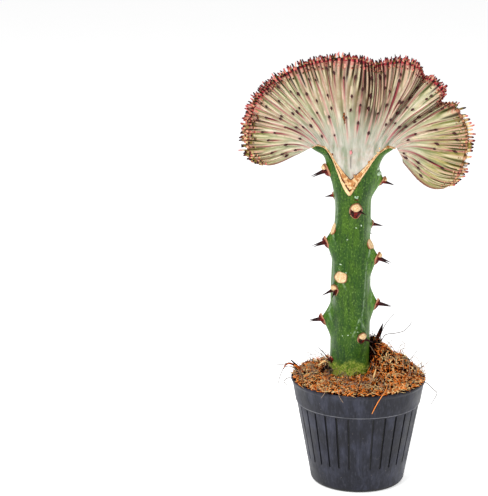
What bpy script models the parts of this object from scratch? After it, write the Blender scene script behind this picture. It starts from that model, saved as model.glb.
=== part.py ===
"""Potted coral cactus, built the way the real plant is.

A crested scion (the fan) is cut to a wedge and grafted into a V in the top of an upright
green rootstock. A corky callus has closed the joint. The rootstock stands in coir in a
thin nursery pot. Blender 4.5, metres, +Z up, origin at the middle of the pot's underside,
the fan's broad face towards -Y.
"""

import math
import random

import bpy
import bmesh
from mathutils import Matrix, Vector, noise

MM = 0.001
GAP = 0.3                      # clearance between neighbouring pieces, mm

# Pot, mm
POT_HEIGHT = 84.0
POT_FOOT_RADIUS = 36.0         # the wall's outer radius carried down to the table
POT_FLARE = 0.185              # growth of the radius per mm of height
POT_WALL = 1.2
POT_BASE = 1.4
POT_LIP_RADIUS = 52.5
POT_RIM_HEIGHT = 3.4           # a rolled rim, a little proud of the collar
POT_RIM_STEP = 0.5
POT_RIM_ROUND = 0.7
POT_LEDGE_HEIGHT = 65.0        # a smooth collar stands above this ledge
POT_LEDGE_STEP = 0.6
POT_CORNER = 4.6               # rounding at the foot
POT_CORNER_STEPS = 4
POT_STEPS = 62
GROOVES = 31
GROOVE_OFFSET = -0.06          # turn of the first groove from the front, in grooves
GROOVE_WIDTH = 1.2
GROOVE_DEPTH = 0.6
GROOVE_BOTTOM = 20.8
GROOVE_TOP = 64.0
FOOT_BAND = 4.0                # the lower edge of the wall's straight run, below the grooves
DRAIN_HOLES = 6
DRAIN_RADIUS = 3.5
DRAIN_CIRCLE = 23.0

# Coir, mm
SOIL_SIDES = 44
SOIL_RINGS = 9
SOIL_EDGE_HEIGHT = 83.6
SOIL_EDGE_RADIUS = 50.3
SOIL_WALL_CLEARANCE = 0.45     # a little over the gap, as the pot's wall has flat facets
SOIL_CORNER = 1.2
SOIL_CENTRE = 0.07             # the last ring's share of the edge radius, inside the stem's hole
SOIL_CROWN = 3.6
MOUND_CENTRE = (-20.0, 16.0)   # a low rise behind the stem's left side
MOUND_HEIGHT = 3.2
MOUND_REACH = 14.5
HEAP_CENTRE = (10.0, 5.0)      # the loose plug that is pushed up against the stem
HEAP_HEIGHT = 29.0
HEAP_REACH = 42.0
HEAP_SLIMNESS = 1.55           # how much faster the heap falls to the front and back
HEAP_POWER = 1.25
SWELL_HEIGHT = 1.8             # broad unevenness
SWELL_SIZE = 17.0
LUMP_HEIGHT = 1.3              # lumps of fibre
LUMP_SIZE = 7.0
STEM_HOLE_RADIUS = 16.2
STEM_HOLE_HEIGHT = 100.0

# Rootstock, mm
STEM_X = -6.8
STEM_FOOT = 52.0               # the buried foot
STEM_SIDES = 30
STEM_TOP = 271.0
STEM_ROW_STEP = 11.5           # rows further apart than this get one more between them
STEM_RIDGES = 5
STEM_RIDGE_HEIGHT = 0.45
STEM_RIDGE_TWIST = 0.004       # radians per mm
BURIED_TOP = 90.0              # below this few rows are enough
ROW_CLEARANCE = 2.4            # rows don't come nearer to each other than this
FLARE_ROWS = (236.0, 242.0, 250.0, 254.0, 258.0, 261.0, 263.5, 266.0)

# Height, half width, half depth and side shift of the rootstock, mm
STEM_FORM = [
    (52.0, 14.6, 14.6, 0.0), (90.0, 15.3, 15.2, 0.0), (125.0, 15.2, 15.0, 0.0),
    (165.0, 15.1, 14.8, -0.2), (200.0, 13.9, 14.0, 0.1), (224.0, 13.7, 14.0, 0.4),
    (234.0, 15.8, 14.4, 0.9), (244.0, 17.9, 14.4, 1.1), (254.0, 20.2, 13.8, 0.9),
    (260.0, 23.8, 12.8, 0.8), (263.5, 29.2, 11.6, 0.2), (266.0, 32.0, 10.6, 0.0),
    (271.0, 32.6, 9.6, 0.0)]

# Cut in the rootstock seen from the front, left arm to right arm (x, z), mm
CUT = [
    (-38.2, 265.4), (-34.6, 267.8), (-29.4, 266.8), (-25.7, 263.0), (-22.4, 256.8), (-19.0, 248.0),
    (-14.6, 237.0), (-9.6, 230.4), (-4.4, 237.6), (0.6, 245.6), (4.6, 251.8), (8.6, 257.6),
    (13.0, 262.4), (19.4, 266.2), (25.2, 264.6)]

# Seam of the scion on the callus, the same places in the same order (x, z), mm
SEAM = [
    (-38.4, 268.0), (-34.0, 270.2), (-28.5, 268.5), (-24.0, 263.4), (-20.2, 257.0), (-16.4, 251.8),
    (-12.6, 247.2), (-8.8, 243.4), (-5.4, 246.4), (-2.0, 249.4), (2.4, 253.8), (7.4, 259.6),
    (12.6, 265.2), (19.0, 269.2), (25.4, 267.4)]
CALLUS_PROUD = 0.9
CUTTER_REACH = 40.0            # half depth of the two graft cutters
CUTTER_RISE = 20.0             # how far they pass the stem's ends
CUTTER_SIDES = (-72.0, 60.0)
ARM_END_DROP = 14.0            # the cut runs down beyond the tips of the arms
LOBE_TUCKS = ((8.3, 6.2), (5.2, 10.4))  # past the left and the right arm: how far out and how far down

# Margin of the fan, one point for each main rib, lower left round to lower right (x, y, z), mm
MARGIN = [
    (-75.5, -12.0, 255.0), (-84.5, -15.0, 260.5), (-89.0, -17.0, 270.0), (-89.5, -18.0, 281.0),
    (-87.5, -17.0, 292.0), (-84.5, -14.0, 301.0), (-80.0, -9.0, 308.0), (-73.5, -4.0, 315.0),
    (-63.5, 0.0, 321.0), (-52.5, 3.0, 327.0), (-40.0, 2.0, 332.0), (-27.0, -3.0, 335.5),
    (-13.0, -5.0, 336.5), (-2.0, 0.0, 334.0), (9.0, 12.0, 328.5), (19.0, 5.0, 331.5),
    (29.0, -6.0, 334.5), (40.5, -5.0, 330.0), (46.5, 9.0, 319.0), (53.5, -1.0, 318.5),
    (61.5, -7.0, 311.5), (59.4, 5.5, 299.8), (70.0, -4.0, 299.5), (78.5, -9.0, 287.0),
    (81.0, -9.0, 275.0), (80.5, -8.0, 263.0), (77.0, -6.0, 249.5), (71.5, -3.0, 240.5),
    (62.5, 0.0, 234.5)]

# Course of the ribs: main rib, foot on the scion's stem (x), first and second handle (x, z), mm
COURSE = [
    (0.0, -24.0, (-33.0, 292.0), (-56.0, 246.0)),
    (1.5, -22.6, (-30.0, 289.0), (-58.0, 261.0)),
    (3.0, -21.0, (-26.5, 285.0), (-58.5, 276.5)),
    (6.0, -17.5, (-21.0, 282.0), (-57.0, 288.0)),
    (10.0, -12.5, (-14.5, 275.0), (-32.5, 300.0)),
    (12.0, -10.2, (-8.5, 274.0), (-16.0, 300.0)),
    (14.0, -7.8, (-1.0, 273.0), (13.5, 297.0)),
    (16.0, -5.2, (4.0, 274.0), (29.5, 299.0)),
    (18.0, -2.6, (8.0, 281.0), (35.0, 301.5)),
    (21.0, 1.2, (12.0, 281.5), (39.5, 286.0)),
    (24.0, 5.0, (15.5, 287.0), (44.0, 270.0)),
    (26.0, 7.6, (18.0, 297.0), (42.0, 249.0)),
    (28.0, 10.0, (20.0, 306.0), (34.0, 224.0))]
SCION_FOOT = 226.0             # the scion's stem before its wedge is cut, mm

MAIN_RIBS = len(MARGIN) - 1
SAMPLES_PER_RIB = 8            # two ribs, a main one and a lesser one, to each main step
NECK_THINNING = 4              # the smooth neck has a quarter of the samples
NECK_ROWS = (0.0, 0.14, 0.24, 0.34)
FAN_ROWS = (0.44, 0.56, 0.69, 0.82, 0.92, 1.0)
FAN_END = 0.97                 # the flesh stops here and the coloured margin goes on
NECK_HALF_DEPTH = 12.5
NECK_HALF_WIDTH = 31.8
EDGE_HALF_DEPTH = 3.2
RIB_HEIGHT = 2.1
LESSER_HEIGHT = 1.5            # the ribs that come in between two main ones
NECK_POWER = 1.3               # how fast the deep neck thins
LEAN_GROWTH = 2.2              # the waves of the margin fade towards the neck by this power
BACK_SHIFT = 0.5               # the ribs of the back face stand between those of the front
RIB_FLOOR = 0.2                # share of a rib's height by which the valleys are sunk
RIB_STARTS = (0.22, 0.36)      # where the even and the odd main ribs start on the way out
LESSER_START = 0.64
THORN_STARTS = (0.46, 0.54)    # first thorn on the even and the odd ribs
THORN_SPACING = 0.22
THORN_SCATTER = 0.03
THORN_LENGTH = 2.7
THORN_ROOT = 2.0
THORN_RADIUS = 0.85

# Coloured margin, mm
TOOTH_LENGTH = 4.2
BAND_HEIGHT = 1.7
TOOTH_SPREAD = 0.5
NOTCHES = ((18.0, 0.85), (21.1, 0.85))  # main rib and how much shorter its teeth are
NOTCH_WIDTH = 0.6              # in main ribs

# Tubercles of the rootstock: height mm, bearing from the front in degrees (right positive),
# swell mm, spread of the swell mm, spine length mm, droop of the spines in degrees
TUBERCLES = [
    (250.0, -80.0, 1.8, 4.5, 13.0, 20.0), (228.0, -122.0, 2.4, 4.5, 7.0, 10.0),
    (240.5, 95.0, 4.4, 5.0, 9.5, 16.0), (221.0, 6.0, 3.0, 5.0, 8.5, 6.0),
    (206.0, 112.0, 3.0, 4.5, 9.5, 11.0), (194.0, -80.0, 6.8, 6.5, 11.0, 14.0),
    (182.0, 74.0, 6.6, 6.5, 11.0, 18.0), (159.0, -40.0, 5.0, 6.5, 11.0, 16.0),
    (144.5, 88.0, 5.4, 6.0, 11.5, 10.0), (132.0, -88.0, 6.6, 6.0, 11.0, 6.0),
    (120.5, 25.0, 4.0, 6.5, 9.0, 8.0), (101.0, -66.0, 1.6, 4.0, 4.5, 10.0),
    (236.0, 165.0, 3.2, 5.0, 7.5, 20.0), (213.0, -168.0, 3.8, 5.5, 8.0, 18.0),
    (198.0, 152.0, 4.6, 6.0, 9.5, 20.0), (181.0, -157.0, 5.2, 6.0, 9.5, 22.0),
    (166.0, 170.0, 5.2, 6.0, 9.5, 20.0), (152.0, -168.0, 4.8, 6.0, 9.0, 20.0),
    (139.0, 138.0, 5.0, 6.0, 9.5, 15.0), (121.0, -150.0, 4.4, 6.0, 8.5, 12.0),
    (112.0, 165.0, 3.2, 5.5, 7.5, 10.0)]
TUBERCLE_WIDTH = 0.78          # half width of a tubercle, in spreads
SHELF_REACH = 2.0              # how far it runs up and down the stem, in spreads
TAIL_REACH = 2.7
SPINE_RADIUS = 1.1
SPINE_ROOT = 2.0               # how far a spine's root is sunk in the flesh, mm
SPINE_SPREAD = 0.42            # sideways lean of the two spines of a pair
SPINE_APART = 1.9              # half the distance between their roots, mm

random.seed(11)


def through(points, t):
    """Point on the smooth (Catmull-Rom) curve through points; t counts the points."""
    last = len(points) - 1
    i = min(max(int(math.floor(t)), 0), last - 1)
    f = t - i
    a, b, c, d = (points[min(max(j, 0), last)] for j in (i - 1, i, i + 1, i + 2))
    if i == 0:
        a = tuple(2 * p - q for p, q in zip(b, c))
    if i == last - 1:
        d = tuple(2 * q - p for p, q in zip(b, c))
    return tuple(
        0.5 * (2 * q + (r - p) * f + (2 * p - 5 * q + 4 * r - w) * f ** 2 + (3 * q - p - 3 * r + w) * f ** 3)
        for p, q, r, w in zip(a, b, c, d))


def along(rows, key):
    """Smooth blend of rows whose first value is the key, which need not be evenly spaced."""
    keys = [row[0] for row in rows]
    k = 0
    while k < len(keys) - 2 and key > keys[k + 1]:
        k += 1
    span = keys[k + 1] - keys[k]
    f = (key - keys[k]) / span

    def slope(j):
        low, high = max(j - 1, 0), min(j + 1, len(keys) - 1)
        return [(q - p) / (keys[high] - keys[low]) for p, q in zip(rows[low][1:], rows[high][1:])]

    weights = (2 * f ** 3 - 3 * f * f + 1, span * (f ** 3 - 2 * f * f + f),
               3 * f * f - 2 * f ** 3, span * (f ** 3 - f * f))
    ends = zip(rows[k][1:], slope(k), rows[k + 1][1:], slope(k + 1))
    return [sum(w * v for w, v in zip(weights, values)) for values in ends]


def ramp(low, high, value):
    """Smooth step from 0 at low to 1 at high."""
    f = min(max((value - low) / (high - low), 0.0), 1.0)
    return f * f * (3 - 2 * f)


FLAT_COURSE = [(rib, place, *first, *second) for rib, place, first, second in COURSE]


def fan_middle(rib, s):
    """Point on the fan's middle surface, mm; s runs from the scion's foot (0) to the margin (1)."""
    x0, x1, z1, x2, z2 = along(FLAT_COURSE, rib)
    x3, y3, z3 = through(MARGIN, rib)
    weights = ((1 - s) ** 3, 3 * s * (1 - s) ** 2, 3 * s * s * (1 - s), s ** 3)
    x = sum(w * v for w, v in zip(weights, (x0, x1, x2, x3)))
    z = sum(w * v for w, v in zip(weights, (SCION_FOOT, z1, z2, z3)))
    return Vector((x, y3 * s ** LEAN_GROWTH, z))


def fan_axes(rib, s):
    """Outward direction along the ribs and the direction towards the front face."""
    wide, near = 1.0, 0.02
    across = fan_middle(min(rib + wide, MAIN_RIBS), s) - fan_middle(max(rib - wide, 0.0), s)
    outward = fan_middle(rib, s) - fan_middle(rib, s - near)
    outward.normalize()
    tilted = across.cross(outward)
    tilted.normalize()
    front = Vector((0.0, -1.0, 0.0)).lerp(tilted, ramp(0.55, 1.05, s))
    front.y = min(front.y, -0.45)
    front.normalize()
    return outward, front


def fan_half_depth(rib, s):
    """Half thickness of the flesh, mm: a deep oval at the neck, thin and round-edged at the margin."""
    side = min(abs(2 * rib / MAIN_RIBS - 1), 0.9985)
    neck = (NECK_HALF_DEPTH - EDGE_HALF_DEPTH) * math.sqrt(1 - side ** 2.4)
    neck *= (1 - ramp(0.1, 0.95, s)) ** NECK_POWER
    return neck + EDGE_HALF_DEPTH * math.sqrt(1 - side ** (10 + 34 * s))


def rib_sway(rib, s):
    """Sideways sway of the ribs, in main ribs, so that they aren't evenly spaced."""
    return 0.12 * math.sin(1.9 * rib + 5 * s + 0.5) + 0.05 * math.sin(4.3 * rib - 7 * s + 2.0)


def rib_rise(rib, s, shift):
    """Height of the ribs over the flesh, mm; shift staggers the ribs of the back face."""
    place = rib - shift + rib_sway(rib, s)
    nearest = round(place)
    main = max(1 - 2 * abs(place - nearest), 0.0) ** 1.8
    between = 2 * place - 2 * math.floor(place) - 1
    lesser = max(1 - 1.5 * abs(between), 0.0) ** 1.4
    start = RIB_STARTS[nearest % 2]
    grown = ramp(start - 0.05, start + 0.4, s)
    lesser_grown = ramp(LESSER_START - 0.06, LESSER_START + 0.14, s)
    rise = RIB_HEIGHT * (main * grown - RIB_FLOOR * ramp(0.3, 0.7, s))
    rise += LESSER_HEIGHT * lesser * lesser_grown
    return rise * ramp(0.0, 0.6, min(rib, MAIN_RIBS - rib))


def fan_point(rib, s, side):
    """Point on the front (+1) or back (-1) face of the fan, mm."""
    front = fan_axes(rib, max(s, 0.03))[1]
    rise = rib_rise(rib, s, 0.0 if side > 0 else BACK_SHIFT)
    return fan_middle(rib, s) + front * side * (fan_half_depth(rib, s) + rise)


def new_object(name, mesh, parts):
    item = bpy.data.objects.new(name, mesh)
    parts.objects.link(item)
    return item


def join_rings(work, low, high):
    """Faces between two closed rings. The upper one may have more points on each of its two halves."""
    count, fine = len(low), len(high)
    half, fine_half = count // 2, fine // 2
    step = (fine_half - 1) // (half - 1) if fine != count else 1
    for i in range(count):
        j = (i + 1) % count
        if fine == count or i in (half - 1, count - 1):
            start = i if fine == count else (fine_half - 1 if i < half else fine - 1)
            work.faces.new((low[i], low[j], high[(start + 1) % fine], high[start]))
            continue
        start = i * step if i < half else fine_half + (i - half) * step
        middle = start + step // 2
        work.faces.new((low[i], low[j], high[middle]))
        for k in range(start, start + step):
            corner = low[i] if k < middle else low[j]
            work.faces.new((corner, high[k + 1], high[k]))


def loft(name, rings, parts, zip_ends):
    """Closed body through rings of points in mm. Ends are zipped front to back, or one flat face."""
    work = bmesh.new()
    rows = [[work.verts.new(Vector(point) * MM) for point in ring] for ring in rings]
    for low, high in zip(rows, rows[1:]):
        join_rings(work, low, high)
    for row, turned in ((rows[0], True), (rows[-1], False)):
        if zip_ends:
            last = len(row) - 1
            for i in range(last // 2):
                face = (row[i], row[i + 1], row[last - i - 1], row[last - i])
                work.faces.new(face[::-1] if turned else face)
        else:
            work.faces.new(row[::-1] if turned else row)
    bmesh.ops.triangulate(work, faces=work.faces[:], quad_method="SHORT_EDGE")
    bmesh.ops.recalc_face_normals(work, faces=work.faces[:])
    mesh = bpy.data.meshes.new(name)
    work.to_mesh(mesh)
    work.free()
    return new_object(name, mesh, parts)


def prism(name, outline, parts):
    """Upright plate from an outline seen from the front (x, z), as deep as the graft cutters."""
    rings = [[(x, y, z) for x, z in outline] for y in (-CUTTER_REACH, CUTTER_REACH)]
    return loft(name, rings, parts, False)


def apply_boolean(target, collection, operation):
    """Join or cut the target with every object of a collection, then remove them."""
    bpy.context.view_layer.update()
    modifier = target.modifiers.new(operation.title(), "BOOLEAN")
    modifier.operand_type = "COLLECTION"
    modifier.collection = collection
    modifier.operation = operation
    modifier.solver = "EXACT"
    graph = bpy.context.evaluated_depsgraph_get()
    result = bpy.data.meshes.new_from_object(target.evaluated_get(graph))
    target.modifiers.remove(modifier)
    old = target.data
    target.data = result
    bpy.data.meshes.remove(old)
    result.name = target.name
    for item in list(collection.objects):
        bpy.data.objects.remove(item)


def helper_collection(name):
    group = bpy.data.collections.new(name)
    bpy.context.scene.collection.children.link(group)
    return group


def add_tool(item, group):
    """Move a scratch solid to its helper collection, drawn as wire and left out of the model."""
    for owner in list(item.users_collection):
        owner.objects.unlink(item)
    group.objects.link(item)
    item.hide_render = True
    item.display_type = "WIRE"


def add_shape(group, name, work, place):
    """Scratch solid from a bmesh that is in its own frame, put in place by a matrix."""
    mesh = bpy.data.meshes.new(name)
    work.to_mesh(mesh)
    work.free()
    item = bpy.data.objects.new(name, mesh)
    item.matrix_world = place
    add_tool(item, group)


def cylinder_tool(group, name, radius, height, middle, sides):
    """Upright round cutter; sizes and the place of its middle in mm."""
    work = bmesh.new()
    bmesh.ops.create_cone(work, cap_ends=True, segments=sides, radius1=radius * MM, radius2=radius * MM,
                          depth=height * MM)
    add_shape(group, name, work, Matrix.Translation(Vector(middle) * MM))


def spine(group, root, direction, length, radius):
    """Three-sided spine with its root sunk in the flesh; positions in mm."""
    work = bmesh.new()
    bmesh.ops.create_cone(work, cap_ends=True, segments=3, radius1=radius * MM, radius2=0.0,
                          depth=length * MM)
    turn = direction.to_track_quat("Z", "Y").to_matrix().to_4x4()
    middle = (root + direction * length / 2) * MM
    add_shape(group, "spine", work, Matrix.Translation(middle) @ turn)


def finish(item, colour, roughness, smooth_angle=40.0):
    """Material and shading of one sub-part."""
    material = bpy.data.materials.new(item.name)
    material.use_nodes = True
    shader = material.node_tree.nodes["Principled BSDF"]
    shader.inputs["Base Color"].default_value = (*colour, 1.0)
    shader.inputs["Roughness"].default_value = roughness
    shader.inputs["Metallic"].default_value = 0.0
    item.data.materials.clear()
    item.data.materials.append(material)
    item.data.shade_smooth()
    item.data.set_sharp_from_angle(angle=math.radians(smooth_angle))


def pot_radius(z):
    return POT_FOOT_RADIUS + POT_FLARE * z


def pot_outline():
    """Half section of the pot (radius, height): down the outside, then up the inside."""
    collar_foot = POT_LEDGE_HEIGHT + POT_LEDGE_STEP
    rim_foot = POT_HEIGHT - POT_RIM_HEIGHT
    band = GROOVE_BOTTOM - FOOT_BAND
    outline = [(POT_LIP_RADIUS - POT_RIM_ROUND, POT_HEIGHT), (POT_LIP_RADIUS, POT_HEIGHT - POT_RIM_ROUND),
               (POT_LIP_RADIUS - 0.2, rim_foot + 1.2), (pot_radius(rim_foot) + POT_RIM_STEP, rim_foot),
               (pot_radius(collar_foot) + POT_LEDGE_STEP, collar_foot),
               (pot_radius(POT_LEDGE_HEIGHT), POT_LEDGE_HEIGHT), (pot_radius(band), band)]
    centre = pot_radius(POT_CORNER) - POT_CORNER
    for step in range(POT_CORNER_STEPS + 1):
        turn = math.radians(90 * step / POT_CORNER_STEPS)
        outline.append((centre + POT_CORNER * math.cos(turn), POT_CORNER * (1 - math.sin(turn))))
    lip_inside = POT_LIP_RADIUS - POT_WALL - 0.3
    outline += [(0.0, 0.0), (0.0, POT_BASE), (pot_radius(0.0) - POT_CORNER, POT_BASE),
                (pot_radius(POT_CORNER) - 1.5 * POT_WALL, POT_CORNER + 0.4),
                (pot_radius(POT_LEDGE_HEIGHT) - POT_WALL, POT_LEDGE_HEIGHT),
                (lip_inside - 0.2, POT_HEIGHT - 1.0), (lip_inside, POT_HEIGHT)]
    return outline


def make_pot(parts):
    """Turned shell with a collar, pressed grooves and drain holes."""
    work = bmesh.new()
    points = [work.verts.new((radius * MM, 0.0, z * MM)) for radius, z in pot_outline()]
    for first, second in zip(points, points[1:] + points[:1]):
        if first.co.x + second.co.x > 0.0:
            work.edges.new((first, second))
    mesh = bpy.data.meshes.new("pot")
    work.to_mesh(mesh)
    work.free()
    pot = new_object("pot", mesh, parts)
    screw = pot.modifiers.new("Turn", "SCREW")
    screw.steps = screw.render_steps = POT_STEPS
    screw.use_merge_vertices = True
    screw.merge_threshold = 0.00001
    screw.use_normal_calculate = True
    graph = bpy.context.evaluated_depsgraph_get()
    turned = bpy.data.meshes.new_from_object(pot.evaluated_get(graph))
    pot.modifiers.clear()
    pot.data = turned

    tools = helper_collection("pot_tools")
    lean = math.atan(POT_FLARE)
    middle_z = (GROOVE_TOP + GROOVE_BOTTOM) / 2
    reach = 2.0                # depth of a cutter, most of it outside the wall, mm
    length = (GROOVE_TOP - GROOVE_BOTTOM) / math.cos(lean)
    out = pot_radius(middle_z) + reach / 2 - GROOVE_DEPTH
    in_wall = Matrix.Translation(Vector((0.0, -out, middle_z)) * MM) @ Matrix.Rotation(lean, 4, "X")
    size = Matrix.Diagonal((GROOVE_WIDTH * MM, reach * MM, length * MM, 1.0))
    for index in range(GROOVES):
        bearing = 2 * math.pi * (index + GROOVE_OFFSET) / GROOVES
        work = bmesh.new()
        bmesh.ops.create_cube(work, size=1.0)
        add_shape(tools, "groove", work, Matrix.Rotation(bearing, 4, "Z") @ in_wall @ size)
    for index in range(DRAIN_HOLES):
        bearing = 2 * math.pi * (index + 0.5) / DRAIN_HOLES
        middle = (DRAIN_CIRCLE * math.cos(bearing), DRAIN_CIRCLE * math.sin(bearing), 0.0)
        cylinder_tool(tools, "drain", DRAIN_RADIUS, 4 * POT_BASE, middle, 12)
    apply_boolean(pot, tools, "DIFFERENCE")
    finish(pot, (0.035, 0.037, 0.04), 0.45)


def soil_height(x, y, edge):
    """Top of the coir, mm: a low crown, a mound, a heap against the stem's right side, and lumps."""
    inside = 1 - edge ** 2
    away = math.hypot(x - MOUND_CENTRE[0], y - MOUND_CENTRE[1]) / MOUND_REACH
    far = math.hypot(x - HEAP_CENTRE[0], HEAP_SLIMNESS * (y - HEAP_CENTRE[1])) / HEAP_REACH
    height = SOIL_EDGE_HEIGHT + SOIL_CROWN * inside + MOUND_HEIGHT * inside * math.exp(-2 * away ** 2)
    height += HEAP_HEIGHT * max(1 - far, 0.0) ** HEAP_POWER * min(inside * 3.0, 1.0)
    rough = SWELL_HEIGHT * noise.noise(Vector((x, y, 40.0)) / SWELL_SIZE)
    rough += LUMP_HEIGHT * noise.noise(Vector((x, y, 3.0)) / LUMP_SIZE)
    return height + rough * min(inside * 4.0, 1.0)


def soil_ring(radius, height):
    """Ring of points at a radius; the height may depend on the place."""
    ring = []
    for index in range(SOIL_SIDES):
        bearing = 2 * math.pi * index / SOIL_SIDES
        x, y = radius * math.cos(bearing), radius * math.sin(bearing)
        ring.append((x, y, height(x, y)))
    return ring


def make_soil(parts):
    """Coir that fills the pot, with a plain round hole for the stem."""
    def wall(z):
        return pot_radius(z) - POT_WALL - SOIL_WALL_CLEARANCE

    foot = POT_BASE + GAP
    shoulder = POT_CORNER + SOIL_CORNER
    top = SOIL_EDGE_HEIGHT - 5.6
    rings = []
    for radius, z in ((pot_radius(0.0) - POT_CORNER - SOIL_CORNER, foot), (wall(shoulder) - 0.6, shoulder),
                      (wall(POT_LEDGE_HEIGHT), POT_LEDGE_HEIGHT), (wall(top), top)):
        rings.append(soil_ring(radius, lambda x, y, level=z: level))
    for step in range(SOIL_RINGS):
        edge = 1 - (1 - SOIL_CENTRE) * (step / (SOIL_RINGS - 1)) ** 0.85
        rings.append(soil_ring(SOIL_EDGE_RADIUS * edge, lambda x, y, share=edge: soil_height(x, y, share)))
    soil = loft("soil", rings, parts, False)
    tools = helper_collection("soil_tools")
    middle = (STEM_X, 0.0, STEM_FOOT - GAP + STEM_HOLE_HEIGHT / 2)
    cylinder_tool(tools, "stem_hole", STEM_HOLE_RADIUS, STEM_HOLE_HEIGHT, middle, 32)
    apply_boolean(soil, tools, "DIFFERENCE")
    finish(soil, (0.35, 0.16, 0.07), 0.95, 60.0)


def tubercle_swell(across, up, spread):
    """Share of a tubercle's rise: a shelf with a steep top and a long tail running down the stem."""
    reach = SHELF_REACH if up > 0 else TAIL_REACH
    share = max(1 - abs(up) / (reach * spread), 0.0) ** 1.3
    return share * math.exp(-(across / (TUBERCLE_WIDTH * spread)) ** 2)


def stem_point(z, bearing):
    """Point on the rootstock's skin, mm; bearing in radians from the front, right positive."""
    half_width, half_depth, shift = along(STEM_FORM, z)
    swell = 0.0
    for height, degrees, rise, spread, _, _ in TUBERCLES:
        turn = (bearing - math.radians(degrees) + math.pi) % (2 * math.pi) - math.pi
        swell += rise * tubercle_swell(turn * half_depth, z - height, spread)
    wave = math.cos(STEM_RIDGES * (bearing + z * STEM_RIDGE_TWIST))
    ridge = STEM_RIDGE_HEIGHT * wave * ramp(240.0, 215.0, z)
    grow = 1 + (swell + ridge) / half_depth
    return Vector((STEM_X + shift + half_width * grow * math.sin(bearing),
                   -half_depth * grow * math.cos(bearing), z))


def stem_rows():
    """Heights of the stem's rows, mm: one through the peak of every tubercle, and some between."""
    rows = [STEM_FOOT, BURIED_TOP, *FLARE_ROWS, STEM_TOP]
    for height in sorted(tubercle[0] for tubercle in TUBERCLES):
        if min(abs(height - other) for other in rows) > ROW_CLEARANCE:
            rows.append(height)
    rows.sort()
    between = [(low + high) / 2 for low, high in zip(rows, rows[1:]) if high - low > STEM_ROW_STEP]
    return sorted(rows + between)


def make_rootstock(parts):
    """Upright stem with swollen tubercles, its top cut to a V with two flared arms."""
    rows = stem_rows()
    rings = [[stem_point(z, 2 * math.pi * i / STEM_SIDES) for i in range(STEM_SIDES)] for z in rows]
    stem = loft("rootstock", rings, parts, False)

    cutter = helper_collection("graft_tools")
    left, right = CUTTER_SIDES
    top = STEM_TOP + CUTTER_RISE
    outline = CUT + [(right, CUT[-1][1] - ARM_END_DROP), (right, top)]
    outline += [(left, top), (left, CUT[0][1] - ARM_END_DROP)]
    add_tool(prism("v_cut", outline, parts), cutter)
    apply_boolean(stem, cutter, "DIFFERENCE")

    spines = helper_collection("stem_spines")
    for height, degrees, _, _, length, droop in TUBERCLES:
        for side in (-1, 1):
            bearing = math.radians(degrees)
            around = Vector((math.cos(bearing), math.sin(bearing), 0.0))
            out = Vector((math.sin(bearing), -math.cos(bearing), 0.0))
            lean = math.radians(droop)
            direction = out * math.cos(lean) - Vector((0, 0, 1)) * math.sin(lean)
            direction += around * side * SPINE_SPREAD
            direction.normalize()
            root = stem_point(height, bearing) + around * side * SPINE_APART - direction * SPINE_ROOT
            spine(spines, root, direction, length + SPINE_ROOT, SPINE_RADIUS)
    apply_boolean(stem, spines, "UNION")
    finish(stem, (0.10, 0.22, 0.05), 0.42, 50.0)


def make_callus(parts):
    """Corky wedge of callus between rootstock and scion, a little proud of both."""
    rings = []
    for index, (seam, cut) in enumerate(zip(SEAM, CUT)):
        down = (Vector(cut) - Vector(seam)).normalized()
        high = Vector(seam) + down * GAP
        low = Vector(cut) - down * GAP
        middle = (high + low) / 2
        reach = min(abs(middle.x - STEM_X) / NECK_HALF_WIDTH, 1.0)
        depth = (NECK_HALF_DEPTH + 0.3) * math.sqrt(max(1 - reach ** 2, 0.05))
        rings.append([(high.x, -depth, high.y), (middle.x, -depth - CALLUS_PROUD, middle.y),
                      (low.x, -depth, low.y), (low.x, depth, low.y),
                      (middle.x, depth + CALLUS_PROUD, middle.y), (high.x, depth, high.y)])
    callus = loft("graft_callus", rings, parts, True)
    finish(callus, (0.50, 0.30, 0.13), 0.8)


def make_crest(parts):
    """The fan: ribbed flesh from the wedge-cut neck to the waved margin, with thorns on its ribs."""
    total = MAIN_RIBS * SAMPLES_PER_RIB
    ribs = [i / SAMPLES_PER_RIB for i in range(total + 1)]
    rings = []
    for row in NECK_ROWS + FAN_ROWS:
        columns = ribs[::NECK_THINNING] if row in NECK_ROWS else ribs
        front = [fan_point(rib, row * FAN_END, 1) for rib in columns]
        back = [fan_point(rib, row * FAN_END, -1) for rib in reversed(columns)]
        rings.append(front + back)
    crest = loft("crest", rings, parts, True)
    wedge = helper_collection("wedge_tools")
    floor = SCION_FOOT - CUTTER_RISE
    left, right = SEAM[0][0] - 2 * GAP, SEAM[-1][0] + 2 * GAP
    (left_out, left_down), (right_out, right_down) = LOBE_TUCKS
    outline = [(left - left_out, SEAM[0][1] - left_down), (left, SEAM[0][1])] + SEAM
    outline += [(right, SEAM[-1][1]), (right + right_out, SEAM[-1][1] - right_down)]
    outline += [(right + right_out, floor), (left - left_out, floor)]
    add_tool(prism("wedge_cut", outline, parts), wedge)
    apply_boolean(crest, wedge, "DIFFERENCE")

    thorns = helper_collection("crest_thorns")
    for side in (1, -1):
        for rib in range(1, MAIN_RIBS):
            start = THORN_STARTS[rib % 2]
            for s in (start, start + THORN_SPACING):
                s += random.uniform(-THORN_SCATTER, THORN_SCATTER)
                shift = 0.0 if side > 0 else BACK_SHIFT
                place = rib + shift
                place -= rib_sway(place, s)
                outward, front = fan_axes(place, s)
                direction = (front * side + outward * 0.9).normalized()
                root = fan_point(place, s, side) - direction * THORN_ROOT
                spine(thorns, root, direction, THORN_LENGTH + THORN_ROOT, THORN_RADIUS)
    apply_boolean(crest, thorns, "UNION")
    finish(crest, (0.55, 0.62, 0.42), 0.5, 60.0)


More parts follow.
